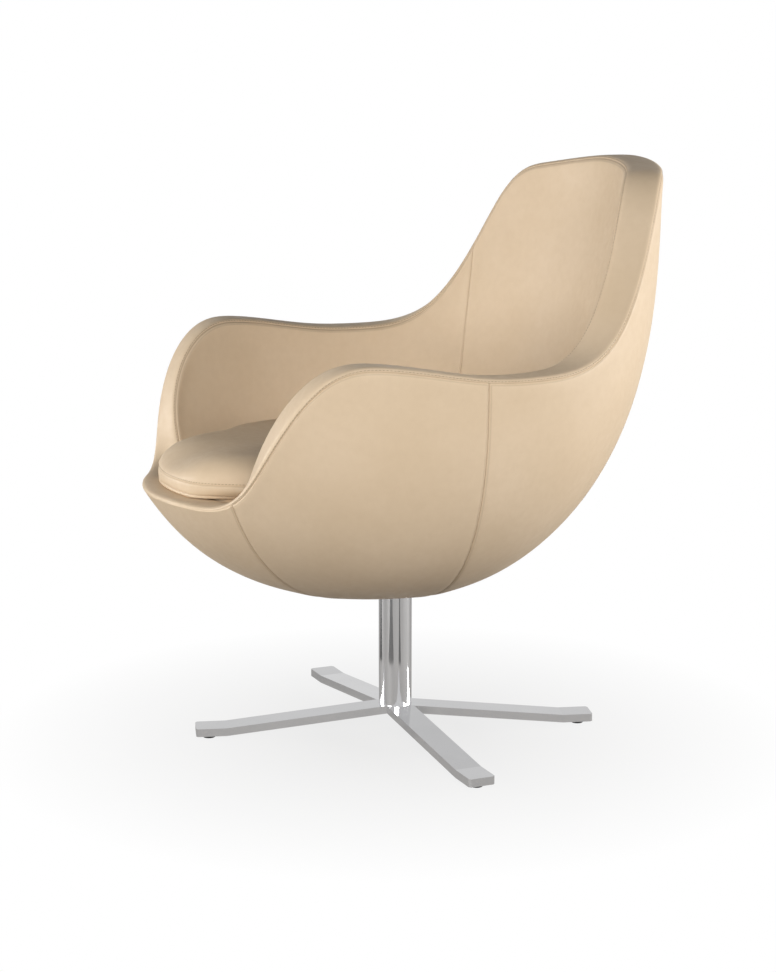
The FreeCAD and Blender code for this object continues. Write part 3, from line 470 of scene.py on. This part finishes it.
BAND_PATH = np.array([
    (5.0, -7.0), (1.4, -4.6), (-1.0, -2.6), (-1.6, 0.4), (0.6, 2.9), (5.5, 4.1), (14.0, 4.3),
    (26.0, 4.3), (38.0, 4.2), (46.0, 3.4), (50.2, 1.2), (51.0, -1.6), (49.0, -6.0)]) * 0.001
BAND_TURNS, BAND_STEPS = 900, 44
OUTER_SEAM_LOW, INNER_SEAM_LOW = -0.0028, -0.0018
LIP_FADE = 10.0
UNDER_BAND = np.array([0.0, 0.0, 0.2])
band_angles = np.linspace(-180.0, 180.0, BAND_TURNS, endpoint=False)
rim_edges = rim_lines(rim_net, band_angles)
rim_up = unit(rim_lines(rim_up_net, band_angles)[:, 0])
rim_across = unit(rim_edges[:, 1] - rim_edges[:, 0])
band_section = basis(len(BAND_PATH) - 3, 1.0, np.linspace(0.0, 1.0, BAND_STEPS)) @ BAND_PATH
band_run = run_lengths(band_section, 0)
middle = BAND_STEPS // 2
outer_seam_run = np.interp(OUTER_SEAM_LOW, band_section[:middle, 1], band_run[:middle])
inner_seam_run = np.interp(INNER_SEAM_LOW, band_section[:middle:-1, 1], band_run[:middle:-1])
band_points = (rim_edges[:, :1] + rim_across[:, None] * band_section[:, :1]
               + rim_up[:, None] * (band_section[:, 1:] + waves(rim_edges[:, 0])[:, None, None]))
band_out = grid_normals(np.concatenate([band_points, band_points[:1]]), UNDER_BAND)[:-1]
# Painted shade in the band's two seams, left off the outer seam along the front lip.
lip_hides = ramp(fold(band_angles), FRONT_SEAM - LIP_FADE, FRONT_SEAM)[:, None]
outer_seam_shade = seam_shade_at(band_run - outer_seam_run) * lip_hides
band_seam_shade = np.maximum(outer_seam_shade, seam_shade_at(band_run - inner_seam_run))
band = new_object("leather_rim_band", band_points.reshape(-1, 3),
                  grid_faces(BAND_TURNS, BAND_STEPS, ring=True))
store(band, "seam_shade", band_seam_shade)
thicken(band, LEATHER)


def band_line(run, start):
    """Points and normals round the band at a place along its section, from an angle round the back."""
    turn = band_angles % 360.0
    order = [i for i in np.argsort(turn) if start <= turn[i] <= 360.0 - start]
    return tuple(np.array([[np.interp(run, band_run, values[i, :, k]) for k in range(3)] for i in order])
                 for values in (band_points, band_out))


# Thread: a row on each side of every seam that shows. The lip's outer seam hides its stitches.

rim_rows = [band_line(outer_seam_run + STITCH_FROM_SEAM, FRONT_SEAM),
            band_line(inner_seam_run - STITCH_FROM_SEAM, 0.0)]
for name, panel in [*outer_panels.items(), *inner_panels.items()]:
    if name != "outer_front":
        rim_rows.append(panel.line_beside("top", STITCH_FROM_SEAM))
rim_thread = stitches("thread_rim", rim_rows)
seam_rows = [panel.line_beside(edge, STITCH_FROM_SEAM)
             for panel in outer_panels.values() for edge in ("first", "last")]
seam_thread = stitches("thread_outer_seams", seam_rows)
lining_rows = [panel.line_beside(edge, STITCH_FROM_SEAM)
               for panel in inner_panels.values() for edge in ("first", "last")]
lining_thread = stitches("thread_inner_seams", lining_rows)

# Loose cushion: rings of points from the middle of the underside to the middle of the top.

CUSHION_SPOKES = 240
cushion_angles = np.linspace(0.0, 360.0, CUSHION_SPOKES, endpoint=False)


def cushion_radius(angle, draw):
    angle = fold(angle)
    wall = deck_corner(angle) - CUSHION_GAP - draw
    lip = skin_radius(angle, SHELL_BOTTOM + LIP_RISE) - CUSHION_SETBACK
    return lip + (wall - lip) * ramp(angle, TONGUE_START, TONGUE_END)


def cushion_ring(height, draw, scale):
    """Ring of points at the given heights; scale draws it in about the middle of the cushion."""
    spots = polar(cushion_angles, cushion_radius(cushion_angles, draw), CUSHION_SOLE + height)
    middle = np.array([0.0, -CUSHION_CENTRE])
    spots[:, :2] = middle + (spots[:, :2] - middle) * scale
    return spots


def crown_height(scale):
    """The crown rises slowly from the front edge and steeply beside the walls."""
    power = CROWN_FRONT + (CROWN_SIDE - CROWN_FRONT) * ramp(fold(cushion_angles), 0.0, CROWN_TURN)
    return CUSHION_WAIST + (CUSHION_HIGH - CUSHION_WAIST) * np.sqrt(1.0 - scale ** (2.0 * power))


SOLE_RINGS, SIDE_RINGS, EDGE_RINGS, TOP_RINGS = 22, 9, 40, 36
SOLE_EDGE, TOP_EDGE, INMOST, EDGE_TURN = 0.97, 0.96, 0.04, 0.17
SEAM_RING_GAP = 0.001
TOP_SEAM_RING = 4
side_heights = np.unique(np.concatenate([
    np.linspace(0.0, CUSHION_WAIST, SIDE_RINGS),
    [BORDER_LOW - SEAM_RING_GAP, BORDER_LOW, BORDER_LOW + SEAM_RING_GAP]]))
crown_scales = np.concatenate([
    1.0 - np.linspace(0.0, EDGE_TURN, EDGE_RINGS)[1:] ** 2, np.linspace(TOP_EDGE, INMOST, TOP_RINGS)])
rings = [cushion_ring(0.0, SOLE_DRAW, scale) for scale in np.linspace(INMOST, SOLE_EDGE, SOLE_RINGS)]
rings += [cushion_ring(height, SOLE_DRAW * (1.0 - height / CUSHION_WAIST) ** 2, 1.0)
          for height in side_heights]
rings += [cushion_ring(crown_height(scale), 0.0, scale) for scale in crown_scales]
cushion_points = np.stack(rings, axis=1)
lower_seam = SOLE_RINGS + int(np.argmin(np.abs(side_heights - BORDER_LOW)))
upper_seam = SOLE_RINGS + len(side_heights) + TOP_SEAM_RING


def cushion_faces():
    faces = grid_faces(CUSHION_SPOKES, len(rings), ring=True).tolist()
    index = np.arange(CUSHION_SPOKES) * len(rings)
    return faces + [index[::-1].tolist(), (index + len(rings) - 1).tolist()]


def blown_up(points, faces):
    """How far the cover moves when the foam fills it: a cloth run with pressure on a remeshed copy."""
    trial = new_object("cushion_trial", points.reshape(-1, 3), faces)
    remesh = trial.modifiers.new("remesh", "REMESH")
    remesh.mode = "VOXEL"
    remesh.voxel_size = PUFF_VOXEL
    scene = bpy.context.scene
    graph = bpy.context.evaluated_depsgraph_get()
    trial.data = bpy.data.meshes.new_from_object(trial.evaluated_get(graph))
    trial.modifiers.clear()
    before = np.array([v.co for v in trial.data.vertices])
    cloth = trial.modifiers.new("cloth", "CLOTH")
    cloth.settings.quality = PUFF_QUALITY
    cloth.settings.use_pressure = True
    cloth.settings.uniform_pressure_force = PUFF_PRESSURE
    cloth.settings.effector_weights.gravity = 0.0
    cloth.point_cache.frame_end = PUFF_FRAMES
    for number in range(1, PUFF_FRAMES + 1):
        scene.frame_set(number)
    graph = bpy.context.evaluated_depsgraph_get()
    after = np.array([v.co for v in trial.evaluated_get(graph).data.vertices])
    scene.frame_set(1)
    bpy.data.objects.remove(trial)
    move = after - before
    length = np.linalg.norm(move, axis=1, keepdims=True)
    move *= np.minimum(1.0, PUFF_CAP / np.maximum(length, 1e-9))
    tree = kdtree.KDTree(len(before))
    for i, spot in enumerate(before):
        tree.insert(spot, i)
    tree.balance()
    near = [[found[1] for found in tree.find_n(Vector(spot), PUFF_NEAREST)]
            for spot in points.reshape(-1, 3)]
    return move[np.array(near)].mean(axis=1).reshape(points.shape)


cushion_quads = cushion_faces()
cushion_points = cushion_points + blown_up(cushion_points, cushion_quads)
cushion_points[..., 2] = np.maximum(cushion_points[..., 2], CUSHION_SOLE)
cushion_out = grid_normals(np.concatenate([cushion_points, cushion_points[:1]]),
                           np.array([0.0, -CUSHION_CENTRE, CUSHION_SOLE + CUSHION_WAIST]))[:-1]
profile_run = run_lengths(cushion_points, 1)
cushion_seam = np.minimum.reduce([np.abs(profile_run - profile_run[:, [ring]])
                                  for ring in (lower_seam, upper_seam)])
cushion_swell = CUSHION_SEAM_SHARE * beside_seam(cushion_seam) + waves(cushion_points)
cushion_points = cushion_points + cushion_out * cushion_swell[..., None]
cushion_points[..., 2] = np.maximum(cushion_points[..., 2], CUSHION_SOLE)
cushion = new_object("leather_cushion", cushion_points.reshape(-1, 3), cushion_quads)
# Painted shade at the cushion's seams, weaker than on the shell.
store(cushion, "seam_shade", CUSHION_SEAM_SHARE * seam_shade_at(cushion_seam))


def cushion_line(column, distance):
    """Points and normals round the cushion, a distance above the seam at a column of its points."""
    rows = []
    for values in (cushion_points, cushion_out):
        spots = np.array([[np.interp(profile_run[i, column] + distance, profile_run[i], values[i, :, k])
                           for k in range(3)] for i in range(CUSHION_SPOKES)])
        rows.append(np.concatenate([spots, spots[:1]]))
    return tuple(rows)


cushion_thread = stitches("thread_cushion", [cushion_line(upper_seam, STITCH_FROM_SEAM)])

# Zip in the rear border: a tape, a row of teeth and a slider in two parts, each so far back along the
# teeth and so far out.

ZIP_TOOTH = np.array([0.0011, 0.0009, 0.0026])
ZIP_PITCH = 0.0022
TAPE_LINES, TAPE_LIFT, TAPE_THICK = 9, 0.0006, 0.0008
TOOTH_LIFT = 0.0011
SLIDER_HALF = np.array([0.0042, 0.0014, 0.0034])
SLIDER_PLACES = ((0.0, 0.0019), (0.007, 0.0026))
TEETH_PAST_SLIDER = 4
BOX_BEVEL = 0.25
zip_middle = (BORDER_LOW + BORDER_HIGH) / 2.0
border_spots = cushion_line(lower_seam, 0.0)[0]
zip_rear = (border_spots[:, 1] > 0.0) & (np.abs(border_spots[:, 0]) < ZIP_LENGTH / 2.0)


def zip_line(height):
    points, normals = cushion_line(lower_seam, height - BORDER_LOW)
    return points[zip_rear], normals[zip_rear]


def boxes(name, spots, runs, outs, half):
    """Small boxes with the given half sizes along the run, outwards and upwards."""
    signs = np.array([(x, y, z) for x in (-1, 1) for y in (-1, 1) for z in (-1, 1)]) * half
    quads = np.array([(0, 1, 3, 2), (4, 6, 7, 5), (0, 4, 5, 1), (2, 3, 7, 6), (0, 2, 6, 4), (1, 5, 7, 3)])
    vertices = [spot + signs @ np.stack([run, out, np.cross(run, out)])
                for spot, run, out in zip(spots, runs, outs)]
    faces = [quads + len(signs) * i for i in range(len(vertices))]
    obj = new_object(name, np.concatenate(vertices), np.concatenate(faces))
    bevel = obj.modifiers.new("bevel", "BEVEL")
    bevel.width = BOX_BEVEL * min(half)
    bevel.segments = 2
    return obj


tape_heights = np.linspace(zip_middle - ZIP_HIGH / 2.0, zip_middle + ZIP_HIGH / 2.0, TAPE_LINES)
tape_lines = [zip_line(height) for height in tape_heights]
tape_points = np.stack([points + normals * TAPE_LIFT for points, normals in tape_lines], axis=1)
zip_tape = new_object("zip_tape", tape_points.reshape(-1, 3), grid_faces(*tape_points.shape[:2]))
thicken(zip_tape, TAPE_THICK)
teeth_points, teeth_out = zip_line(zip_middle)
teeth_run = run_lengths(teeth_points, 0)
teeth_at = np.arange(ZIP_PITCH, teeth_run[-1] - ZIP_PITCH, ZIP_PITCH)
teeth_spots = rows_at(teeth_at, teeth_run, teeth_points)
teeth_normals = unit(rows_at(teeth_at, teeth_run, teeth_out))
teeth_along = unit(np.gradient(teeth_spots, axis=0))
teeth_normals = unit(teeth_normals - teeth_along * np.sum(teeth_normals * teeth_along, axis=1, keepdims=True))
zip_teeth = boxes("zip_teeth", teeth_spots + teeth_normals * TOOTH_LIFT, teeth_along, teeth_normals,
                  ZIP_TOOTH / 2.0)
slider_at = len(teeth_spots) - TEETH_PAST_SLIDER
slider_along, slider_out = teeth_along[slider_at], teeth_normals[slider_at]
zip_slider = boxes(
    "zip_slider",
    [teeth_spots[slider_at] - slider_along * back + slider_out * lift for back, lift in SLIDER_PLACES],
    [slider_along] * 2, [slider_out] * 2, SLIDER_HALF)


# Materials

def tree_of(name):
    made = bpy.data.materials.new(name)
    made.use_nodes = True
    tree = made.node_tree
    return made, tree, tree.nodes["Principled BSDF"]


def node(tree, kind, **settings):
    made = tree.nodes.new("ShaderNode" + kind)
    for key, value in settings.items():
        if key in made.inputs:
            made.inputs[key].default_value = value
        else:
            setattr(made, key, value)
    return made


def object_place(tree, stretch=(1.0, 1.0, 1.0)):
    place = node(tree, "TexCoord")
    mapping = node(tree, "Mapping")
    mapping.inputs["Scale"].default_value = stretch
    tree.links.new(place.outputs["Object"], mapping.inputs["Vector"])
    return mapping.outputs["Vector"]


def noise_at(tree, place, scale, detail=3.0, rough=0.55):
    made = node(tree, "TexNoise", Scale=scale, Detail=detail, Roughness=rough)
    tree.links.new(place, made.inputs["Vector"])
    return made.outputs["Fac"]


def ranged(tree, value, low, high, to_low, to_high):
    made = node(tree, "MapRange")
    for name, number in (("From Min", low), ("From Max", high), ("To Min", to_low), ("To Max", to_high)):
        made.inputs[name].default_value = number
    tree.links.new(value, made.inputs["Value"])
    return made.outputs["Result"]


def mixed(tree, factor, first, second):
    """Colour between first and second; each is a colour or a socket."""
    made = node(tree, "Mix", data_type="RGBA")
    for socket, value in zip((made.inputs[6], made.inputs[7]), (first, second)):
        if isinstance(value, tuple):
            socket.default_value = (*value, 1.0)
        else:
            tree.links.new(value, socket)
    tree.links.new(factor, made.inputs[0])
    return made.outputs[2]


def bumped(tree, height, distance, strength, under=None):
    made = node(tree, "Bump", Distance=distance, Strength=strength)
    tree.links.new(height, made.inputs["Height"])
    if under is not None:
        tree.links.new(under, made.inputs["Normal"])
    return made.outputs["Normal"]


LEATHER_DEEP, LEATHER_PALE = (0.640, 0.500, 0.345), (0.690, 0.548, 0.392)
# The last colour is painted shade, for the seams.
LEATHER_MOTTLED, LEATHER_SEAM_SHADE = (0.575, 0.435, 0.290), (0.235, 0.160, 0.100)
# Thread darker than the leather, partly its own tone and partly painted shade of the stitch rows; the deeper
# colour is painted shade in the twist grooves.
THREAD_IN_GROOVE_SHADE, THREAD_SHADED_RIDGE = (0.33, 0.235, 0.15), (0.45, 0.34, 0.23)
SMUDGE_SHADE = 0.86
ROUGH_SPREAD = 0.07


def leather_material():
    """Cream leather: fine pebble grain and pores, faint cloudiness, painted shade in the seams."""
    made, tree, shader = tree_of("cream_leather")
    place = object_place(tree)
    cloud = noise_at(tree, place, scale=6.0)
    mottle = noise_at(tree, place, scale=85.0, detail=4.0)
    pebble = node(tree, "TexVoronoi", feature="DISTANCE_TO_EDGE", Scale=560.0, Randomness=0.9)
    tree.links.new(place, pebble.inputs["Vector"])
    pores = noise_at(tree, place, scale=1500.0, detail=2.0)
    seam_shade = node(tree, "Attribute", attribute_name="seam_shade")
    colour = mixed(tree, ranged(tree, cloud, 0.3, 0.7, 0.0, 1.0), LEATHER_DEEP, LEATHER_PALE)
    colour = mixed(tree, ranged(tree, mottle, 0.35, 0.75, 0.0, 0.22), colour, LEATHER_MOTTLED)
    # Painted shade: the leather darkens towards deep brown in the seams.
    colour = mixed(tree, ranged(tree, seam_shade.outputs["Fac"], 0.1, 1.0, 0.0, 0.55), colour, LEATHER_SEAM_SHADE)
    tree.links.new(colour, shader.inputs["Base Color"])
    tree.links.new(ranged(tree, mottle, 0.3, 0.7, 0.42, 0.58), shader.inputs["Roughness"])
    pebble_height = ranged(tree, pebble.outputs["Distance"], 0.0, 0.35, 0.0, 1.0)
    grain = bumped(tree, pebble_height, distance=0.00016, strength=0.35)
    grain = bumped(tree, pores, distance=0.00008, strength=0.25, under=grain)
    tree.links.new(grain, shader.inputs["Normal"])
    shader.inputs["Specular IOR Level"].default_value = 0.22
    shader.inputs["Sheen Weight"].default_value = 0.02
    shader.inputs["Sheen Roughness"].default_value = 0.4
    return made


def thread_material():
    made, tree, shader = tree_of("beige_thread")
    twist = node(tree, "TexWave", Scale=900.0, Distortion=1.5)
    tree.links.new(object_place(tree), twist.inputs["Vector"])
    # Painted shade: the colour follows the twist bump and is darker in its grooves.
    colour = mixed(tree, twist.outputs["Fac"], THREAD_IN_GROOVE_SHADE, THREAD_SHADED_RIDGE)
    tree.links.new(colour, shader.inputs["Base Color"])
    twisted = bumped(tree, twist.outputs["Fac"], distance=0.0002, strength=0.5)
    tree.links.new(twisted, shader.inputs["Normal"])
    shader.inputs["Roughness"].default_value = 0.62
    return made


def metal_material(name, colour, rough_low, rough_high, stretch, scale):
    """Metal whose gloss changes with faint wipe marks; stretch sets the run of the marks."""
    made, tree, shader = tree_of(name)
    marks = noise_at(tree, object_place(tree, stretch), scale, detail=4.0)
    smudge = noise_at(tree, object_place(tree), scale=14.0, detail=2.0)
    smudged = tuple(SMUDGE_SHADE * c for c in colour)
    shade = mixed(tree, ranged(tree, smudge, 0.35, 0.75, 0.0, 0.35), colour, smudged)
    tree.links.new(shade, shader.inputs["Base Color"])
    tree.links.new(ranged(tree, marks, 0.3, 0.7, rough_low, rough_high), shader.inputs["Roughness"])
    tree.links.new(bumped(tree, marks, distance=0.00002, strength=0.15), shader.inputs["Normal"])
    shader.inputs["Metallic"].default_value = 1.0
    return made


def plain_material(name, dark, light, rough, scale, bump):
    made, tree, shader = tree_of(name)
    speckle = noise_at(tree, object_place(tree), scale, detail=4.0)
    tree.links.new(mixed(tree, speckle, dark, light), shader.inputs["Base Color"])
    roughness = ranged(tree, speckle, 0.3, 0.7, rough - ROUGH_SPREAD, rough + ROUGH_SPREAD)
    tree.links.new(roughness, shader.inputs["Roughness"])
    tree.links.new(bumped(tree, speckle, bump, strength=0.4), shader.inputs["Normal"])
    return made


leather = leather_material()
thread = thread_material()
chrome = metal_material("polished_chrome", (0.82, 0.82, 0.83),
                        rough_low=0.05, rough_high=0.12, stretch=(1.0, 1.0, 0.15), scale=60.0)
steel = metal_material("plain_steel", (0.52, 0.53, 0.54),
                       rough_low=0.25, rough_high=0.42, stretch=(1.0, 1.0, 0.1), scale=140.0)
nylon = plain_material("black_nylon", (0.010, 0.010, 0.011), (0.020, 0.020, 0.021),
                       rough=0.45, scale=400.0, bump=0.00005)
moulding = plain_material("glass_fibre", (0.23, 0.23, 0.21), (0.33, 0.33, 0.30),
                          rough=0.55, scale=160.0, bump=0.0002)
tape = plain_material("zip_cloth", (0.30, 0.225, 0.155), (0.38, 0.29, 0.205),
                      rough=0.8, scale=1100.0, bump=0.0002)

# Which piece stands for which solids, what it is made of and what carries it.

for name, panel in outer_panels.items():
    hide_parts(name + "_cover", name + "_foam")
lining_solids = {
    "inner_back": ("inner_back_cover", "back_foam"),
    "inner_left": ("inner_left_cover", "left_arm_foam"),
    "inner_right": ("inner_right_cover", "right_arm_foam"),
    "seat_deck": ("seat_deck_cover", "seat_foam"),
}
for name, panel in inner_panels.items():
    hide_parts(*lining_solids[name])
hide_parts("rim_band")
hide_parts("cushion_foam", "cushion_top_cover", "cushion_border", "cushion_bottom_cover")
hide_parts("cushion_zip")

panel_objects = [panel.object for panel in [*outer_panels.values(), *inner_panels.values()]]
dressing = [
    (panel_objects + [band], "seat_shell", leather, "leather"),
    ([rim_thread, seam_thread, lining_thread], "seat_shell", thread, "leather"),
    ([cushion], "seat_cushion", leather, "leather"),
    ([cushion_thread], "seat_cushion", thread, "leather"),
    ([zip_tape], "seat_cushion", tape, "zip_tape"),
    ([zip_teeth, zip_slider], "seat_cushion", steel, "steel"),
]
for objects, body, look, slot in dressing:
    for obj in objects:
        obj.data.materials.append(look)
        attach(obj, body)

node_looks = {
    "leg_1 leg_2 leg_3 leg_4 hub column_tube": chrome,
    "glide_1 glide_2 glide_3 glide_4 lower_bush upper_bush thrust_washer": nylon,
    "spindle retaining_washer retaining_bolt mount_plate mount_bolts mount_nuts": steel,
    "moulded_shell deck_plug": moulding,
}
for names, look in node_looks.items():
    for name in names.split():
        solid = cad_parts[name]
        solid.data.materials.clear()
        solid.data.materials.append(look)

EDGE_BREAK, EDGE_ANGLE = 0.0007, 35.0
for name in ("leg_1", "leg_2", "leg_3", "leg_4"):
    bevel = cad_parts[name].modifiers.new("edges", "BEVEL")
    bevel.width = EDGE_BREAK
    bevel.segments = 3
    bevel.limit_method = "ANGLE"
    bevel.angle_limit = math.radians(EDGE_ANGLE)
    bevel.harden_normals = True

# Stage: a floor that looks white to the camera and keeps a soft shadow, white surroundings, lamps in
# front, at the side and behind, and grey cards that only the chrome sees.

FLOOR_REACH = 9.0
FLOOR_COLOUR, FLOOR_ROUGH = (0.18, 0.166, 0.152, 1.0), 0.7
SHADOW_NEAR, SHADOW_FAR, SHADOW_WHITE = 0.10, 0.62, 0.80
FLOOR_IN_CHROME = 0.28
WHITE = (1.0, 1.0, 1.0, 1.0)
floor_corners = [(x * FLOOR_REACH, y * FLOOR_REACH, 0.0)
                 for x, y in ((-1.0, -1.0), (1.0, -1.0), (1.0, 1.0), (-1.0, 1.0))]
floor = new_object("floor", floor_corners, [(0, 1, 2, 3)])
floor_look, floor_tree, floor_shader = tree_of("pale_floor")
floor_shader.inputs["Base Color"].default_value = FLOOR_COLOUR
floor_shader.inputs["Roughness"].default_value = FLOOR_ROUGH
floor_glow = node(floor_tree, "Emission")
floor_glow.inputs["Color"].default_value = WHITE
floor_mix = node(floor_tree, "MixShader")
floor_rays = node(floor_tree, "LightPath")
floor_place = node(floor_tree, "TexCoord")
floor_far = node(floor_tree, "VectorMath", operation="LENGTH")
floor_tree.links.new(floor_place.outputs["Object"], floor_far.inputs[0])
mirrored = node(floor_tree, "Math", operation="MULTIPLY")
floor_tree.links.new(floor_rays.outputs["Is Glossy Ray"], mirrored.inputs[0])
mirrored.inputs[1].default_value = FLOOR_IN_CHROME
whiten = node(floor_tree, "Math", operation="MULTIPLY_ADD")
floor_tree.links.new(floor_rays.outputs["Is Camera Ray"], whiten.inputs[0])
floor_tree.links.new(mirrored.outputs[0], whiten.inputs[2])
lightness = ranged(floor_tree, floor_far.outputs["Value"], SHADOW_NEAR, SHADOW_FAR, SHADOW_WHITE, 1.0)
floor_tree.links.new(lightness, whiten.inputs[1])
floor_tree.links.new(whiten.outputs[0], floor_mix.inputs["Fac"])
floor_tree.links.new(floor_shader.outputs["BSDF"], floor_mix.inputs[1])
floor_tree.links.new(floor_glow.outputs["Emission"], floor_mix.inputs[2])
floor_tree.links.new(floor_mix.outputs["Shader"], floor_tree.nodes["Material Output"].inputs["Surface"])
floor.data.materials.append(floor_look)

# The room lights a little from the sides; glossy surfaces see it brighter and the camera sees white.

ROOM_LEVEL, ROOM_ABOVE = 0.02, 0.0
GLOSS_LEVEL, GLOSS_ABOVE = 0.76, 0.50
STEEP_END = 0.8
world = bpy.data.worlds.new("white_room")
bpy.context.scene.world = world
world.use_nodes = True
sky = world.node_tree
background = sky.nodes["Background"]
background.inputs["Color"].default_value = WHITE
rays = node(sky, "LightPath")
way = node(sky, "TexCoord")
way_parts = node(sky, "SeparateXYZ")
sky.links.new(way.outputs["Generated"], way_parts.inputs[0])
steep = node(sky, "Math", operation="ABSOLUTE")
sky.links.new(way_parts.outputs["Z"], steep.inputs[0])
room = ranged(sky, steep.outputs[0], 0.0, STEEP_END, ROOM_LEVEL, ROOM_ABOVE)
gloss = ranged(sky, steep.outputs[0], 0.0, STEEP_END, GLOSS_LEVEL, GLOSS_ABOVE)
level = room
for ray, strength in (("Is Glossy Ray", gloss), ("Is Transmission Ray", 1.0), ("Is Camera Ray", 1.0)):
    choice = node(sky, "Mix")
    sky.links.new(rays.outputs[ray], choice.inputs["Factor"])
    sky.links.new(level, choice.inputs["A"])
    if isinstance(strength, float):
        choice.inputs["B"].default_value = strength
    else:
        sky.links.new(strength, choice.inputs["B"])
    level = choice.outputs["Result"]
sky.links.new(level, background.inputs["Strength"])


LAMP_WHITE = (1.0, 0.995, 0.985)
LAMP_AIM = Vector((0.0, 0.0, 0.5))
LAMP_WIDTH, LAMP_HEIGHT = 1.4, 1.0


def lamp(name, place, power):
    light = bpy.data.lights.new(name, "AREA")
    light.shape = "RECTANGLE"
    light.size, light.size_y = LAMP_WIDTH, LAMP_HEIGHT
    light.energy = power
    light.color = LAMP_WHITE
    obj = bpy.data.objects.new(name, light)
    obj.location = place
    obj.rotation_euler = (LAMP_AIM - Vector(place)).to_track_quat("-Z", "Y").to_euler()
    bpy.context.scene.collection.objects.link(obj)


lamp("front_far", (-1.8, -2.5, 0.8), power=52.0)
lamp("front_near", (1.4, -2.7, 0.8), power=50.0)
lamp("side_high", (2.9, -0.4, 1.8), power=47.0)
lamp("back_near", (2.0, 2.4, 0.8), power=34.0)
lamp("back", (0.6, 3.1, 0.8), power=64.0)

CARD_NEAR, CARD_FAR, CARD_LIFT, CARD_ROUGH = 0.40, 2.60, 0.002, 0.9


def card(name, azimuth, width, grey):
    """Grey strip on the floor, away from the column, that only shows in the chrome."""
    run = np.array([math.cos(math.radians(azimuth)), math.sin(math.radians(azimuth)), 0.0])
    side = np.array([-run[1], run[0], 0.0]) * width / 2.0
    lift = np.array([0.0, 0.0, CARD_LIFT])
    corners = [run * far + side * way + lift for far, way in
               ((CARD_NEAR, -1.0), (CARD_FAR, -1.0), (CARD_FAR, 1.0), (CARD_NEAR, 1.0))]
    obj = new_object(name, corners, [(0, 1, 2, 3)])
    look, tree, shader = tree_of(name)
    shader.inputs["Base Color"].default_value = (grey, grey, grey, 1.0)
    shader.inputs["Roughness"].default_value = CARD_ROUGH
    obj.data.materials.append(look)
    obj.visible_camera = False
    obj.visible_diffuse = False
    obj.visible_shadow = False


card("card_left", azimuth=-138.0, width=0.20, grey=0.04)
card("card_middle", azimuth=-50.0, width=0.26, grey=0.12)
card("card_right", azimuth=8.0, width=0.10, grey=0.10)

# Camera of the photograph, worked out from the legs, the column and the rim.

CAMERA_AT = Vector((2.7921, -1.1447, 0.9664))
CAMERA_AIM = Vector((0.0, -0.0118, 0.3799))
LENS, SENSOR_WIDTH, CLIP_END = 76.1, 36.0, 60.0
camera = bpy.data.cameras.new("camera")
camera.lens = LENS
camera.sensor_width = SENSOR_WIDTH
camera.clip_end = CLIP_END
eye = bpy.data.objects.new("camera", camera)
eye.location = CAMERA_AT
eye.rotation_euler = (CAMERA_AIM - CAMERA_AT).to_track_quat("-Z", "Y").to_euler()
bpy.context.scene.collection.objects.link(eye)
bpy.context.scene.camera = eye
bpy.context.scene.view_settings.view_transform = "Standard"
